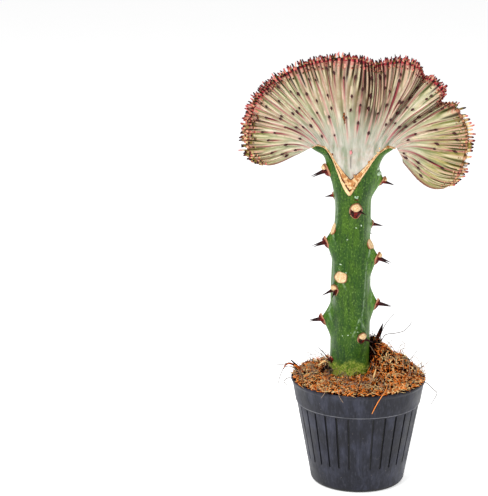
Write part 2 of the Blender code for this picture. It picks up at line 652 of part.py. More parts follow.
def make_crest_margin(parts):
    """The growing edge: a narrow coloured band with two rows of teeth, one for each fine rib."""
    total = MAIN_RIBS * SAMPLES_PER_RIB
    rings = []
    for index in range(total + 1):
        rib = index / SAMPLES_PER_RIB
        outward, front = fan_axes(rib, FAN_END)
        base = fan_middle(rib, FAN_END) + outward * (GAP + 0.1)
        half = fan_half_depth(rib, FAN_END) + 0.2
        shorter = sum(cut * math.exp(-((rib - place) / NOTCH_WIDTH) ** 2) for place, cut in NOTCHES)
        length = TOOTH_LENGTH * (1 - shorter) * ramp(-0.4, 0.5, min(rib, MAIN_RIBS - rib))
        near = BAND_HEIGHT + (length if index % 2 == 0 else 0.0)
        far = BAND_HEIGHT + (length if index % 2 else 0.0)
        rings.append([base + front * half, base + outward * near + front * (half + TOOTH_SPREAD),
                      base + outward * BAND_HEIGHT * 0.8,
                      base + outward * far - front * (half + TOOTH_SPREAD), base - front * half])
    margin = loft("crest_margin", rings, parts, False)
    finish(margin, (0.45, 0.06, 0.12), 0.5, 30.0)


def main():
    for item in list(bpy.data.objects):
        bpy.data.objects.remove(item)
    parts = bpy.data.collections.new("potted_coral_cactus")
    bpy.context.scene.collection.children.link(parts)
    make_pot(parts)
    make_soil(parts)
    make_rootstock(parts)
    make_callus(parts)
    make_crest(parts)
    make_crest_margin(parts)


main()
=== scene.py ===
# %% [markdown]
# # A potted coral cactus
#
# A coral cactus is two plants in one. The fan on top is a crested form of a spurge that grows
# along a line instead of at a point, so it spreads into a waved, ribbed crest. It is grafted
# on the upright green stem of a sturdier relative, and a corky callus has closed the joint.
#
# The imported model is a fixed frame: it says where each piece is and how large it may be. This
# lesson dresses that frame, one piece after the other, from the pot up to the coloured teeth.

import math

import bpy
import numpy as np
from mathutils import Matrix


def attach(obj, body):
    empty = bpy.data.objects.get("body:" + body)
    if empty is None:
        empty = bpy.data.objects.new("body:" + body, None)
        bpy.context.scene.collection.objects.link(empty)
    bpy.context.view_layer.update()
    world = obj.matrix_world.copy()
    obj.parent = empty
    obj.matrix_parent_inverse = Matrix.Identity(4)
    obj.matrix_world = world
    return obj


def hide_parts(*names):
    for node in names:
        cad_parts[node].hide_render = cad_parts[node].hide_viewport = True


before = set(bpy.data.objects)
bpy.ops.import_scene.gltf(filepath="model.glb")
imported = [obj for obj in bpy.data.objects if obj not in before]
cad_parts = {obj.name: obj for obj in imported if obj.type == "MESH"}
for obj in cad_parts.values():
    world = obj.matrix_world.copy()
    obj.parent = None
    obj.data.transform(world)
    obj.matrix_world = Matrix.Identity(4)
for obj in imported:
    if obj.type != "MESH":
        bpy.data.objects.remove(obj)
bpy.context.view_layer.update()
print("nodes to dress:", len(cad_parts))

# %% [markdown]
# ## Units and small helpers
#
# Every size below is in millimetres, the unit a grower would measure the plant in, and is
# turned to metres only where a mesh is made. The shapes are grids of points that NumPy works
# out all at once, because a fan of nearly 100,000 points is slow to place one point at a time.

# %% Soft steps and curves through points
MM = 0.001


def ramp(low, high, value):
    """Smooth step from 0 at low to 1 at high; high may be the smaller one."""
    share = np.clip((value - low) / (high - low), 0.0, 1.0)
    return share * share * (3 - 2 * share)


def curve_through(points, place):
    """Points on the Catmull-Rom curve through a list of points; place counts the points."""
    points = np.asarray(points, float)
    ends = (2 * points[:1] - points[1:2], points, 2 * points[-1:] - points[-2:-1])
    points = np.concatenate(ends)
    start = np.clip(np.floor(place).astype(int), 0, len(points) - 4)
    f = (place - start)[..., None]
    a, b, c, d = (points[start + step] for step in range(4))
    bend = (2 * a - 5 * b + 4 * c - d) * f ** 2 + (3 * b - a - 3 * c + d) * f ** 3
    return 0.5 * (2 * b + (c - a) * f + bend)


def blend_rows(rows, key):
    """Smooth blend of rows of values whose first value is the key, evenly spaced or not."""
    rows = np.asarray(rows, float)
    keys, values = rows[:, 0], rows[:, 1:]
    slopes = np.empty_like(values)
    slopes[1:-1] = (values[2:] - values[:-2]) / (keys[2:] - keys[:-2])[:, None]
    slopes[0] = (values[1] - values[0]) / (keys[1] - keys[0])
    slopes[-1] = (values[-1] - values[-2]) / (keys[-1] - keys[-2])
    k = np.clip(np.searchsorted(keys, key, side="left") - 1, 0, len(keys) - 2)
    span = (keys[k + 1] - keys[k])[..., None]
    f = (np.asarray(key, float) - keys[k])[..., None] / span
    lower = (2 * f ** 3 - 3 * f ** 2 + 1) * values[k] + span * (f ** 3 - 2 * f ** 2 + f) * slopes[k]
    upper = (3 * f ** 2 - 2 * f ** 3) * values[k + 1] + span * (f ** 3 - f ** 2) * slopes[k + 1]
    return lower + upper


def unit(vectors):
    return vectors / np.maximum(np.linalg.norm(vectors, axis=-1, keepdims=True), 1e-9)


# %% Unevenness that is the same each run
WAVES = 10


def uneven(points, size, seed):
    """Smooth unevenness of about -1 to 1 with humps of a size in mm: plane waves added up."""
    dice = np.random.default_rng(seed)
    total = np.zeros(points.shape[:-1])
    for _ in range(WAVES):
        direction = unit(dice.normal(size=3))
        turns = points @ direction * (math.pi / size) * dice.uniform(0.6, 1.5)
        total += np.sin(turns + dice.uniform(0, 2 * math.pi))
    return total / math.sqrt(WAVES)


# %% [markdown]
# ## From grids to meshes
#
# Nearly everything here is either a grid that is rolled up, such as the pot, the stem and the
# fan, or a bundle of thin tapered tubes, such as spines, teeth and fibres. Two helpers make
# these two kinds, one joins shapes to a single one, and the last one turns the result into an
# object that rides on the frame. A shape is its points, its faces and the marks on its points.

# %% Faces of a grid and of many tapered tubes
def grid_faces(rows, columns, closed):
    """Quads between rows of points; closed joins each row's last point to its first one."""
    index = np.arange(rows * columns).reshape(rows, columns)
    if closed:
        index = np.hstack([index, index[:, :1]])
    low, high = index[:-1], index[1:]
    return np.stack([low[:, :-1], low[:, 1:], high[:, 1:], high[:, :-1]], axis=-1).reshape(-1, 4).tolist()


def capped_grid(rows, columns):
    """Faces of rows of points rolled up to a tube, with a cap on the first row and on the last."""
    last = (rows - 1) * columns
    caps = [list(range(columns))[::-1], list(range(last, last + columns))]
    return grid_faces(rows, columns, True) + caps


def tubes(paths, radii, sides, flatness=1.0):
    """Closed tapered tubes along many paths at once. Paths (n, steps, 3) and radii (n, steps) in mm."""
    count, steps, _ = paths.shape
    along = unit(np.gradient(paths, axis=1))
    upright = np.abs(along[:, :1, 2:]) > 0.8
    helper = np.where(upright, np.array([1.0, 0.0, 0.0]), np.array([0.0, 0.0, 1.0]))
    side = unit(np.cross(along, helper))
    rise = np.cross(side, along) * flatness
    angle = 2 * math.pi * np.arange(sides) / sides
    ring = side[:, :, None] * np.cos(angle)[:, None] + rise[:, :, None] * np.sin(angle)[:, None]
    points = (paths[:, :, None] + radii[:, :, None, None] * ring).reshape(-1, 3)
    index = np.arange(count * steps * sides).reshape(count, steps, sides)
    around = np.roll(index, -1, axis=2)
    quads = np.stack([index[:, :-1], index[:, 1:], around[:, 1:], around[:, :-1]], axis=-1).reshape(-1, 4)
    caps = np.concatenate([index[:, 0], index[:, -1, ::-1]])
    return points, quads.tolist() + caps.tolist()


def each_ring(values, sides):
    """Repeats values given for each tube and step to every point of the tubes."""
    return np.repeat(np.asarray(values, float).reshape(-1), sides)


# %% Shapes joined into one piece that rides on the frame
def joined(shapes):
    """One shape from several (points, faces, marks); a mark that a shape lacks is 0 there."""
    names = sorted({name for _, _, marks in shapes for name in marks})
    all_faces, start = [], 0
    for points, faces, _ in shapes:
        all_faces += [[corner + start for corner in face] for face in faces]
        start += len(points)
    marks = {}
    for name in names:
        values = [np.broadcast_to(own.get(name, 0.0), len(points)) for points, _, own in shapes]
        marks[name] = np.concatenate(values)
    return np.concatenate([points for points, _, _ in shapes]), all_faces, marks


def into_scene(thing):
    bpy.context.scene.collection.objects.link(thing)


def add_piece(name, shape, material, node):
    """Makes the object with its marks and finish, lets it ride on the one body and replace a node."""
    points, faces, marks = shape
    mesh = bpy.data.meshes.new(name)
    mesh.from_pydata((np.asarray(points) * MM).tolist(), [], faces)
    for mark, values in marks.items():
        layer = mesh.attributes.new(mark, "FLOAT", "POINT")
        layer.data.foreach_set("value", np.asarray(values, np.float32))
    mesh.shade_smooth()
    mesh.materials.append(material)
    piece = bpy.data.objects.new(name, mesh)
    into_scene(piece)
    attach(piece, "root")
    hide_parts(node)
    mesh.calc_loop_triangles()
    print(name, len(mesh.loop_triangles), "triangles")
    return piece


# %% [markdown]
# ## How a finish is made
#
# A finish is a Principled shader with a few nodes in front of it. Noise gives it speckles and
# relief at the real scale. Marks that were stored on the points, such as how near a point is
# to a rib, say where each colour goes, so that the colour follows the form on every side. The
# colours are laid on like paint: one for the whole surface, and then coat over coat.

# %% Helpers for node materials
NOISE_ROUGHNESS = 0.55
LIGHT_IN_FLESH = 0.06


def screen(red, green, blue):
    """Linear colour for a colour as a screen shows it, 0 to 255."""
    return tuple(((value / 255 + 0.055) / 1.055) ** 2.4 if value > 10 else value / 3295
                 for value in (red, green, blue))


class Finish:
    """A material with its Principled shader and short calls for the nodes in front of it."""

    def __init__(self, name, roughness, gloss=0.32):
        self.material = bpy.data.materials.new(name)
        self.material.use_nodes = True
        self.nodes = self.material.node_tree.nodes
        self.links = self.material.node_tree.links
        self.shader = self.nodes["Principled BSDF"]
        self.shader.inputs["Roughness"].default_value = roughness
        self.shader.inputs["Specular IOR Level"].default_value = gloss
        self.place = self.nodes.new("ShaderNodeTexCoord").outputs["Object"]

    def feed(self, socket, value):
        """Sets a socket to a number or a colour, or links it to another one or to a mark by its name."""
        if isinstance(value, str):
            value = self.mark(value)
        if isinstance(value, bpy.types.NodeSocket):
            self.links.new(value, socket)
        elif isinstance(value, tuple):
            socket.default_value = (*value, 1.0)[:len(socket.default_value)]
        else:
            socket.default_value = value

    def mark(self, name):
        """A value that was stored on the points."""
        node = self.nodes.new("ShaderNodeAttribute")
        node.attribute_name = name
        return node.outputs["Fac"]

    def height(self):
        """Height over the floor in metres."""
        node = self.nodes.new("ShaderNodeSeparateXYZ")
        self.links.new(self.place, node.inputs[0])
        return node.outputs["Z"]

    def upright_grain(self, share):
        """Object coordinates with the height scaled down, for a grain that runs up and down."""
        node = self.nodes.new("ShaderNodeMapping")
        self.links.new(self.place, node.inputs["Vector"])
        node.inputs["Scale"].default_value = (1.0, 1.0, share)
        return node.outputs["Vector"]

    def together(self, x, y, z):
        """Coordinates made of three single values, for a grain that follows the form."""
        node = self.nodes.new("ShaderNodeCombineXYZ")
        for socket, value in zip(node.inputs, (x, y, z)):
            self.feed(socket, value)
        return node.outputs["Vector"]

    def noise(self, size, detail=3.0, vector=None):
        """Noise with features of a size in mm."""
        node = self.nodes.new("ShaderNodeTexNoise")
        self.links.new(vector or self.place, node.inputs["Vector"])
        node.inputs["Scale"].default_value = 1 / (size * MM)
        node.inputs["Detail"].default_value = detail
        node.inputs["Roughness"].default_value = NOISE_ROUGHNESS
        return node.outputs["Fac"]

    def from_specks(self, size):
        """Distance from the nearest of many scattered points, in shares of their spacing in mm."""
        node = self.nodes.new("ShaderNodeTexVoronoi")
        self.links.new(self.place, node.inputs["Vector"])
        node.inputs["Scale"].default_value = 1 / (size * MM)
        return node.outputs["Distance"]

    def math(self, operation, first, second):
        node = self.nodes.new("ShaderNodeMath")
        node.operation = operation
        self.feed(node.inputs[0], first)
        self.feed(node.inputs[1], second)
        return node.outputs[0]

    def times(self, first, second):
        return self.math("MULTIPLY", first, second)

    def plus(self, first, second):
        return self.math("ADD", first, second)

    def span(self, value, low, high, to_low=0.0, to_high=1.0):
        """Soft step of a value from low to high, given as to_low to to_high."""
        node = self.nodes.new("ShaderNodeMapRange")
        node.interpolation_type = "SMOOTHSTEP"
        for socket, number in zip(node.inputs, (value, low, high, to_low, to_high)):
            self.feed(socket, number)
        return node.outputs["Result"]

    def blend(self, share, first, second):
        """Mix of two numbers."""
        node = self.nodes.new("ShaderNodeMix")
        self.feed(node.inputs["Factor"], share)
        self.feed(node.inputs["A"], first)
        self.feed(node.inputs["B"], second)
        return node.outputs["Result"]

    def mix(self, share, first, second):
        """Mix of two colours."""
        node = self.nodes.new("ShaderNodeMix")
        node.data_type = "RGBA"
        self.feed(node.inputs["Factor"], share)
        self.feed(node.inputs["A"], first)
        self.feed(node.inputs["B"], second)
        return node.outputs["Result"]

    def between(self, value, low, high, first, second):
        """The first colour where a value is at low, the second one where it is at high."""
        return self.mix(self.span(value, low, high), first, second)

    def colour(self, value):
        """The colour of the whole surface, or the one under all coats."""
        self.tone = value
        self.feed(self.shader.inputs["Base Color"], value)

    def coat(self, share, colour):
        """Another colour over the ones before it, as far as its share says."""
        self.colour(self.mix(share, self.tone, colour))

    def coat_where(self, value, low, high, colour, most=1.0):
        """A coat that begins where a value is at low and is at its thickest at high."""
        self.coat(self.span(value, low, high, 0.0, most), colour)

    def patchy(self, size, low, high, detail=3.0):
        """Roughness that drifts between two values over patches of a size in mm."""
        drift = self.span(self.noise(size, detail), 0.3, 0.7, low, high)
        self.feed(self.shader.inputs["Roughness"], drift)

    def let_light_in(self, radii, depth):
        """Light that enters the flesh and leaves it again; shares of red, green and blue, depth in mm."""
        self.shader.inputs["Subsurface Weight"].default_value = LIGHT_IN_FLESH
        self.shader.inputs["Subsurface Radius"].default_value = radii
        self.shader.inputs["Subsurface Scale"].default_value = depth * MM

    def relief(self, height, depth, under=None):
        """Bump from a height of 0 to 1 that stands for a depth in mm; under is a bump below it."""
        node = self.nodes.new("ShaderNodeBump")
        node.inputs["Distance"].default_value = depth * MM
        self.links.new(height, node.inputs["Height"])
        if under:
            self.links.new(under, node.inputs["Normal"])
        self.links.new(node.outputs["Normal"], self.shader.inputs["Normal"])
        return node.outputs["Normal"]


# %% [markdown]
# ## The camera
#
# The plant was seen from a little above and from far away, so the fan is seen almost square
# on while the pot's rim opens into a thin ellipse. The lens and the height come from two
# measures in the picture: how wide the pot is at the rim and at the foot, and how open the
# rim's ellipse is. The plant stands in the right half of the frame, as it did there.

# %% Camera at the picture's viewing angle
CAMERA_PLACE = (-0.0895, -1.41, 0.536)  # metres
LOOKS_DOWN = math.radians(13.9)
CAMERA_LENS = 137.1
camera = bpy.data.objects.new("camera", bpy.data.cameras.new("camera"))
camera.location = CAMERA_PLACE
camera.rotation_euler = (math.pi / 2 - LOOKS_DOWN, 0.0, 0.0)
camera.data.lens = CAMERA_LENS
into_scene(camera)
bpy.context.scene.camera = camera
print("camera", round(-CAMERA_PLACE[1], 2), "m in front, lens", CAMERA_LENS, "mm")

# %% [markdown]
# ## The nursery pot
#
# It is a thin vacuum-formed cup of dark grey plastic. A smooth collar ends in a small ledge,
# and narrow upright grooves stiffen the wall below it. The shell could be turned with a Screw
# modifier and the grooves cut with Booleans. One grid is better: each groove then has its own
# close columns, so its edges are soft and sharp where they should be, and nothing is cut.

# %% Outline of the shell, the same sizes as the solid's
POT_HEIGHT = 84.0
POT_FOOT_RADIUS = 36.0
POT_FLARE = 0.185
POT_WALL = 1.2
POT_BASE = 1.4
POT_LIP_RADIUS = 52.5
POT_CORNER = 4.6
CORNER_STEPS = 8
GROOVE_BOTTOM, GROOVE_TOP = 20.8, 64.0
GROOVES = 31
GROOVE_OFFSET = -0.06
GROOVE_DEPTH = 1.0
DUST_FILL = 0.75  # share of a groove's depth that dried compost fills at the front
DUSTY_FRONT = 0.3  # and how far round from the front it does so, radians
AXIS_GAP = 0.6  # the outline ends just short of the axis
BASE_LIFT = 0.9  # the base stands this far off the floor, on a ring at the pot's edge
WALL_ROWS = (8.0, 14.0, 18.0, 19.6, 20.2, 20.6, 21.0, 21.6, 23.0, 30.0, 38.0, 46.0, 54.0, 60.0, 62.6, 63.6,
             64.0, 64.3)


def wall_radius(z):
    return POT_FOOT_RADIUS + POT_FLARE * z


corner_centre = wall_radius(POT_CORNER) - POT_CORNER
pot_line = [(AXIS_GAP, BASE_LIFT), (corner_centre - 7.0, BASE_LIFT), (corner_centre - 5.0, 0.0)]
for turn in np.linspace(0, math.pi / 2, CORNER_STEPS + 1):
    pot_line.append((corner_centre + POT_CORNER * math.sin(turn), POT_CORNER * (1 - math.cos(turn))))
pot_line += [(wall_radius(z), z) for z in WALL_ROWS]
# the ledge and the collar: height on the flared wall, how far they stand out from it, own height
for wall_z, proud, z in ((64.8, 0.0, 64.8), (65.0, 0.12, 65.05), (65.2, 0.5, 65.25), (65.6, 0.62, 65.7),
                         (67.0, 0.6, 67.0), (74.0, 0.55, 74.0), (80.2, 0.5, 80.2), (80.8, 0.62, 80.8)):
    pot_line.append((wall_radius(wall_z) + proud, z))
# the rolled lip
pot_line += [(52.2, 81.6), (52.45, 82.4), (POT_LIP_RADIUS, 83.2), (52.3, 83.7), (51.9, POT_HEIGHT),
             (51.4, 83.95), (51.0, 83.6)]
inside_line = [(wall_radius(z) - POT_WALL, z) for z in (80.0, 65.0, 40.0, 15.0, POT_CORNER + 1.0)]
inside_line += [(corner_centre, POT_BASE + 0.5), (corner_centre - 2.0, POT_BASE), (AXIS_GAP, POT_BASE)]
outside_points = len(pot_line)
pot_line = np.array(pot_line + inside_line)
print("pot outline", len(pot_line), "points")

# %% Roll the outline round, with close columns at every groove
GROOVE_COLUMNS = (0.0, 0.5, 0.58, 0.7, 0.88, 1.6)  # distance from a groove's middle, mm
MIDDLE_OF_WALL = 43.0
pitch = 2 * math.pi / GROOVES
mean_radius = wall_radius(MIDDLE_OF_WALL)
offsets = [sign * distance / mean_radius for distance in GROOVE_COLUMNS for sign in (-1, 1)]
offsets += [pitch * share for share in (0.32, 0.5, -0.32)]
pot_bearings = np.array(sorted({round((index + GROOVE_OFFSET) * pitch + offset, 6)
                                for index in range(GROOVES) for offset in offsets}))
outside = np.arange(len(pot_line)) < outside_points


def groove_depth(bearing, z):
    """How far the wall is pressed in, 0 to 1: a narrow channel with rounded ends."""
    middle = (np.round(bearing / pitch - GROOVE_OFFSET) + GROOVE_OFFSET) * pitch
    across = np.abs(bearing - middle) * mean_radius
    length = ramp(GROOVE_BOTTOM - 0.8, GROOVE_BOTTOM + 0.6, z) * ramp(GROOVE_TOP + 0.5, GROOVE_TOP - 0.4, z)
    return ramp(0.8, 0.55, across) * length


recess = groove_depth(pot_bearings[None], pot_line[:, 1][:, None]) * outside[:, None]
dust_filled = np.exp(-((pot_bearings + math.pi) % (2 * math.pi) - math.pi) ** 2 / DUSTY_FRONT ** 2)
recess = recess * (1 - DUST_FILL * dust_filled)[None]
# a cup this thin is never quite round
warp = 0.16 * np.sin(3 * pot_bearings + 0.7) + 0.09 * np.sin(7 * pot_bearings + 2.0)
radius = pot_line[:, 0][:, None] - GROOVE_DEPTH * recess + warp * ramp(10.0, 70.0, pot_line[:, 1])[:, None]
pot_points = np.stack([radius * np.sin(pot_bearings), -radius * np.cos(pot_bearings),
                       np.broadcast_to(pot_line[:, 1][:, None], radius.shape)], axis=-1)
pot_faces = capped_grid(*radius.shape)
print("pot grid", radius.shape)

# %% [markdown]
# The plastic is never clean. Handling has rubbed it, and compost has dried on it in faint
# streaks and filled the grooves at the front. That is a small change of colour and of roughness
# in broad noise. Light and shade are painted on as well: a light band at the ledge's height is a
# painted highlight, the grooves get a painted shade that is darker as they get deeper, and a
# painted shadow darkens the lowest edge of the foot.

# %% Dusty plastic, and the pot itself
plastic = Finish("pot_plastic", 0.5, 0.26)
pot_z = plastic.height()
dust = plastic.times(plastic.noise(22.0, 4.0), plastic.noise(6.0, 5.0, plastic.upright_grain(0.3)))
plastic.colour(screen(25, 26, 36))
plastic.coat_where(dust, 0.18, 0.4, screen(50, 52, 66))
grain = plastic.noise(1.4, 4.0, plastic.upright_grain(0.25))
plastic.coat_where(grain, 0.52, 0.7, screen(78, 79, 90), 0.28)
plastic.coat_where(grain, 0.46, 0.3, screen(14, 14, 18), 0.5)
# painted shade: the grooves turn near black as they get deeper
plastic.coat_where("recess", 0.1, 0.6, screen(3, 3, 4), 0.95)
# painted shadow: the lowest few millimetres of the foot turn near black
plastic.coat_where(pot_z, 4.0 * MM, 1.8 * MM, screen(6, 6, 9))
# painted highlight: a thin light band along the raised edge of the ledge, where it catches the light
ledge_highlight = plastic.times(plastic.span(pot_z, 64.95 * MM, 65.1 * MM),
                    plastic.span(pot_z, 65.75 * MM, 65.45 * MM))
ledge_highlight = plastic.times(ledge_highlight, plastic.span(plastic.noise(9.0), 0.3, 0.6, 0.35, 0.8))
plastic.coat(ledge_highlight, screen(132, 133, 139))
specks = plastic.span(plastic.from_specks(6.5), 0.06, 0.035)
plastic.coat(plastic.times(specks, 0.4), screen(130, 122, 116))
plastic.patchy(11.0, 0.38, 0.56, 4.0)
plastic.relief(plastic.noise(3.2, 3.0), 0.12)
pot = add_piece("nursery_pot", (pot_points.reshape(-1, 3), pot_faces, {"recess": recess.reshape(-1)}),
                plastic.material, "pot")

# %% Drain holes through the base
DRAIN_HOLES = 6
DRAIN_RADIUS = 3.5
DRAIN_CIRCLE = 23.0
DRAIN_SIDES = 40
DRILL_FROM, DRILL_TO = -2.0, 4.0
drills = []
for index in range(DRAIN_HOLES):
    bearing = 2 * math.pi * (index + 0.5) / DRAIN_HOLES
    angle = 2 * math.pi * np.arange(DRAIN_SIDES) / DRAIN_SIDES
    ring = np.stack([np.cos(angle), np.sin(angle)], axis=-1) * DRAIN_RADIUS
    ring += DRAIN_CIRCLE * np.array([math.cos(bearing), math.sin(bearing)])
    ends = [np.column_stack([ring, np.full(DRAIN_SIDES, z)]) for z in (DRILL_FROM, DRILL_TO)]
    drills.append((np.concatenate(ends), capped_grid(2, DRAIN_SIDES), {}))
drill_points, drill_faces, _ = joined(drills)
drill_mesh = bpy.data.meshes.new("drills")
drill_mesh.from_pydata((drill_points * MM).tolist(), [], drill_faces)
drill = bpy.data.objects.new("drills", drill_mesh)
into_scene(drill)
cut = pot.modifiers.new("Drain", "BOOLEAN")
cut.operation = "DIFFERENCE"
cut.object = drill
drilled = bpy.data.meshes.new_from_object(pot.evaluated_get(bpy.context.evaluated_depsgraph_get()))
pot.modifiers.remove(cut)
pot.data = drilled
pot.data.set_sharp_from_angle(angle=math.radians(50))
bpy.data.objects.remove(drill)
print("pot after drilling", len(pot.data.polygons), "faces")

# %% [markdown]
# ## The coir
#
# Coir is the fibre of coconut husks: short orange-brown chips and strands with dark gaps. A
# bumpy surface in brown would look like earth, so the bed below is only a near-black ground,
# painted shade of the gaps, and thousands of separate chips and strands lie on it. The heap on
# the right is the edge of the plug that the stem was raised in, and it stands a little off the
# stem, which leaves a dark gap.

# %% Height of the bed, as in the solid
SOIL_EDGE_HEIGHT = 83.6
SOIL_EDGE_RADIUS = 50.3
SOIL_CROWN = 3.6
MOUND_CENTRE = np.array([-20.0, 16.0])
MOUND_HEIGHT = 3.2
MOUND_REACH = 14.5
HEAP_CENTRE = np.array([10.0, 5.0])
HEAP_HEIGHT = 29.0
HEAP_REACH = 42.0
HEAP_SLIMNESS = 1.55
HEAP_POWER = 1.25
STEM_X = -6.8
STEM_FOOT = 52.0
STEM_HOLE_RADIUS = 16.2
# the slot between the plug and the stem's right front
SLOT_DEPTH = 17.0
SLOT_REACH = 2.6
SLOT_BEARING, SLOT_SPREAD = 64.0, 34.0


def slot_share(x, y, reach=SLOT_REACH):
    """1 in the slot beside the stem and 0 away from it."""
    off_stem = np.maximum(np.hypot(x - STEM_X, y) - STEM_HOLE_RADIUS, 0)
    turn = np.degrees(np.arctan2(x - STEM_X, -y)) - SLOT_BEARING
    return np.exp(-(off_stem / reach) ** 2 - (turn / SLOT_SPREAD) ** 2)


def bed_height(x, y):
    """Top of the coir, mm."""
    inside = 1 - np.clip(np.hypot(x, y) / SOIL_EDGE_RADIUS, 0, 1) ** 2
    away = np.hypot(x - MOUND_CENTRE[0], y - MOUND_CENTRE[1]) / MOUND_REACH
    far = np.hypot(x - HEAP_CENTRE[0], HEAP_SLIMNESS * (y - HEAP_CENTRE[1])) / HEAP_REACH
    height = SOIL_EDGE_HEIGHT + SOIL_CROWN * inside + MOUND_HEIGHT * inside * np.exp(-2 * away ** 2)
    height += HEAP_HEIGHT * np.maximum(1 - far, 0) ** HEAP_POWER * np.minimum(inside * 3, 1)
    flat = np.stack([x, y, np.zeros_like(x)], axis=-1)
    rough = 1.0 * uneven(flat, 17.0, 4) + 0.8 * uneven(flat, 6.0, 5) + 0.4 * uneven(flat, 2.6, 6)
    return height + rough * np.minimum(inside * 4, 1) - SLOT_DEPTH * slot_share(x, y)


# %% The dark ground under the fibres
BED_RINGS, BED_SIDES = 90, 220
BED_INSET = 1.7  # the pot's wall and the gap inside it
BED_WALL_HEIGHTS = (1.9, 6.0, 40.0, 78.0)
bearing = 2 * math.pi * np.arange(BED_SIDES) / BED_SIDES
share = np.linspace(1.0, 0.0, BED_RINGS) ** 0.9
outer = np.stack([np.cos(bearing), np.sin(bearing)], axis=-1) * SOIL_EDGE_RADIUS
inner = np.stack([np.cos(bearing), np.sin(bearing)], axis=-1) * STEM_HOLE_RADIUS + [STEM_X, 0.0]
flat = inner + share[:, None, None] * (outer - inner)
top = np.concatenate([flat, bed_height(flat[..., 0], flat[..., 1])[..., None]], axis=-1)
hole = np.concatenate([inner, np.full((BED_SIDES, 1), STEM_FOOT)], axis=-1)[None]
wall_rings = []
for z in BED_WALL_HEIGHTS:
    ring = outer * (wall_radius(z) - BED_INSET) / SOIL_EDGE_RADIUS
    wall_rings.append(np.concatenate([ring, np.full((BED_SIDES, 1), z)], axis=-1))
bed_points = np.concatenate([np.stack(wall_rings), top, hole])
ground = Finish("coir_ground", 0.95, 0.05)
# painted shade: the ground is near black, as the gaps between the fibres lie in shade
ground.colour(screen(12, 3, 1))
ground.coat_where(ground.noise(1.6, 4.0), 0.38, 0.62, screen(58, 22, 8))
ground.relief(ground.noise(0.9, 4.0), 0.8)
bed_shape = (bed_points.reshape(-1, 3), capped_grid(len(bed_points), BED_SIDES), {})
add_piece("coir_bed", bed_shape, ground.material, "soil")

# %% Where a fibre lies: a place on the bed and the two directions along its surface
def spread_over_bed(dice, count, reach):
    """Random places on the bed out to a radius, none of them inside the stem's hole."""
    places = np.empty((0, 2))
    while len(places) < count:
        bearing = dice.uniform(0, 2 * math.pi, count)
        radius = reach * np.sqrt(dice.uniform(0, 1, count))
        found = np.stack([radius * np.cos(bearing), radius * np.sin(bearing)], axis=-1)
        clear = np.hypot(found[:, 0] - STEM_X, found[:, 1]) > STEM_HOLE_RADIUS + 0.6
        places = np.concatenate([places, found[clear]])
    return places[:count]


def on_bed(place):
    """The point on the bed at one place."""
    return np.array([*place, float(bed_height(*place[:, None])[0])])


def bed_frame(places):
    """Points on the bed, raised a little near the rim, and its upward normals there."""
    x, y = places[:, 0], places[:, 1]
    step = 1.5
    slope_x = (bed_height(x + step, y) - bed_height(x - step, y)) / (2 * step)
    slope_y = (bed_height(x, y + step) - bed_height(x, y - step)) / (2 * step)
    normal = unit(np.stack([-slope_x, -slope_y, np.ones_like(x)], axis=-1))
    rim = ramp(SOIL_EDGE_RADIUS - 2.0, SOIL_EDGE_RADIUS + 0.5, np.hypot(x, y))
    return np.stack([x, y, bed_height(x, y) + 1.2 * rim], axis=-1), normal


def lying(dice, normal, tilt):
    """Random directions along the surface, tilted up or down by up to tilt radians."""
    loose = dice.normal(size=normal.shape)
    flat = unit(loose - (loose * normal).sum(-1, keepdims=True) * normal)
    lift = dice.uniform(-tilt, tilt, (len(normal), 1))
    return unit(flat * np.cos(lift) + normal * np.sin(lift))


# %% [markdown]
# The chips are stout and short, 2 to 6 mm, and the strands are thin, 5 to 13 mm, and bent.
# Both are bundles of tapered tubes. Each has its own tint, from pale straw to dark brown, and
# the lower layers are the darker ones, as little light gets down to them in the real bed. In
# the slot beside the stem they are darker still, a painted shade of that slot.

# %% Chips and strands
CHIPS = 6000
STRANDS = 1700
FIBRE_REACH = 50.9
INSIDE_RIM = 53.6


def fibres(dice, count, length, thick, lift, bend, steps, tilt):
    """Bent tapered fibres scattered over the bed: paths, widths and a tint for each fibre."""
    start, normal = bed_frame(spread_over_bed(dice, count, FIBRE_REACH))
    direction = lying(dice, normal, tilt)
    side = np.cross(normal, direction)
    size = dice.uniform(*length, (count, 1))
    along = np.linspace(-0.5, 0.5, steps)
    curl = dice.normal(size=(count, 1)) * bend
    arch = dice.normal(size=(count, 1)) * bend * 0.5
    up = dice.uniform(*lift, (count, 1))
    paths = start[:, None] + normal[:, None] * up[..., None] + direction[:, None] * (size * along)[..., None]
    paths = paths + side[:, None] * (curl * size * (0.25 - along ** 2))[..., None]
    paths = paths + normal[:, None] * (arch * size * (0.25 - along ** 2))[..., None]
    width = dice.uniform(*thick, (count, 1)) * (1.05 - 0.9 * np.abs(2 * along) ** 3)
    height_share = (up - lift[0]) / (lift[1] - lift[0])
    from_axis = np.linalg.norm(paths[..., :2], axis=-1, keepdims=True)
    paths[..., :2] *= np.minimum(from_axis, INSIDE_RIM) / from_axis
    tint = 0.2 + 0.52 * height_share + dice.normal(size=(count, 1)) * 0.44
    x, y = start[:, :1], start[:, 1:2]
    # painted shade: fibres in the slot beside the stem are darker
    tint = tint - 1.5 * slot_share(x, y) - 0.5 * slot_share(x, y, 6.0)
    return paths, width, np.broadcast_to(np.clip(tint, 0, 1), width.shape)


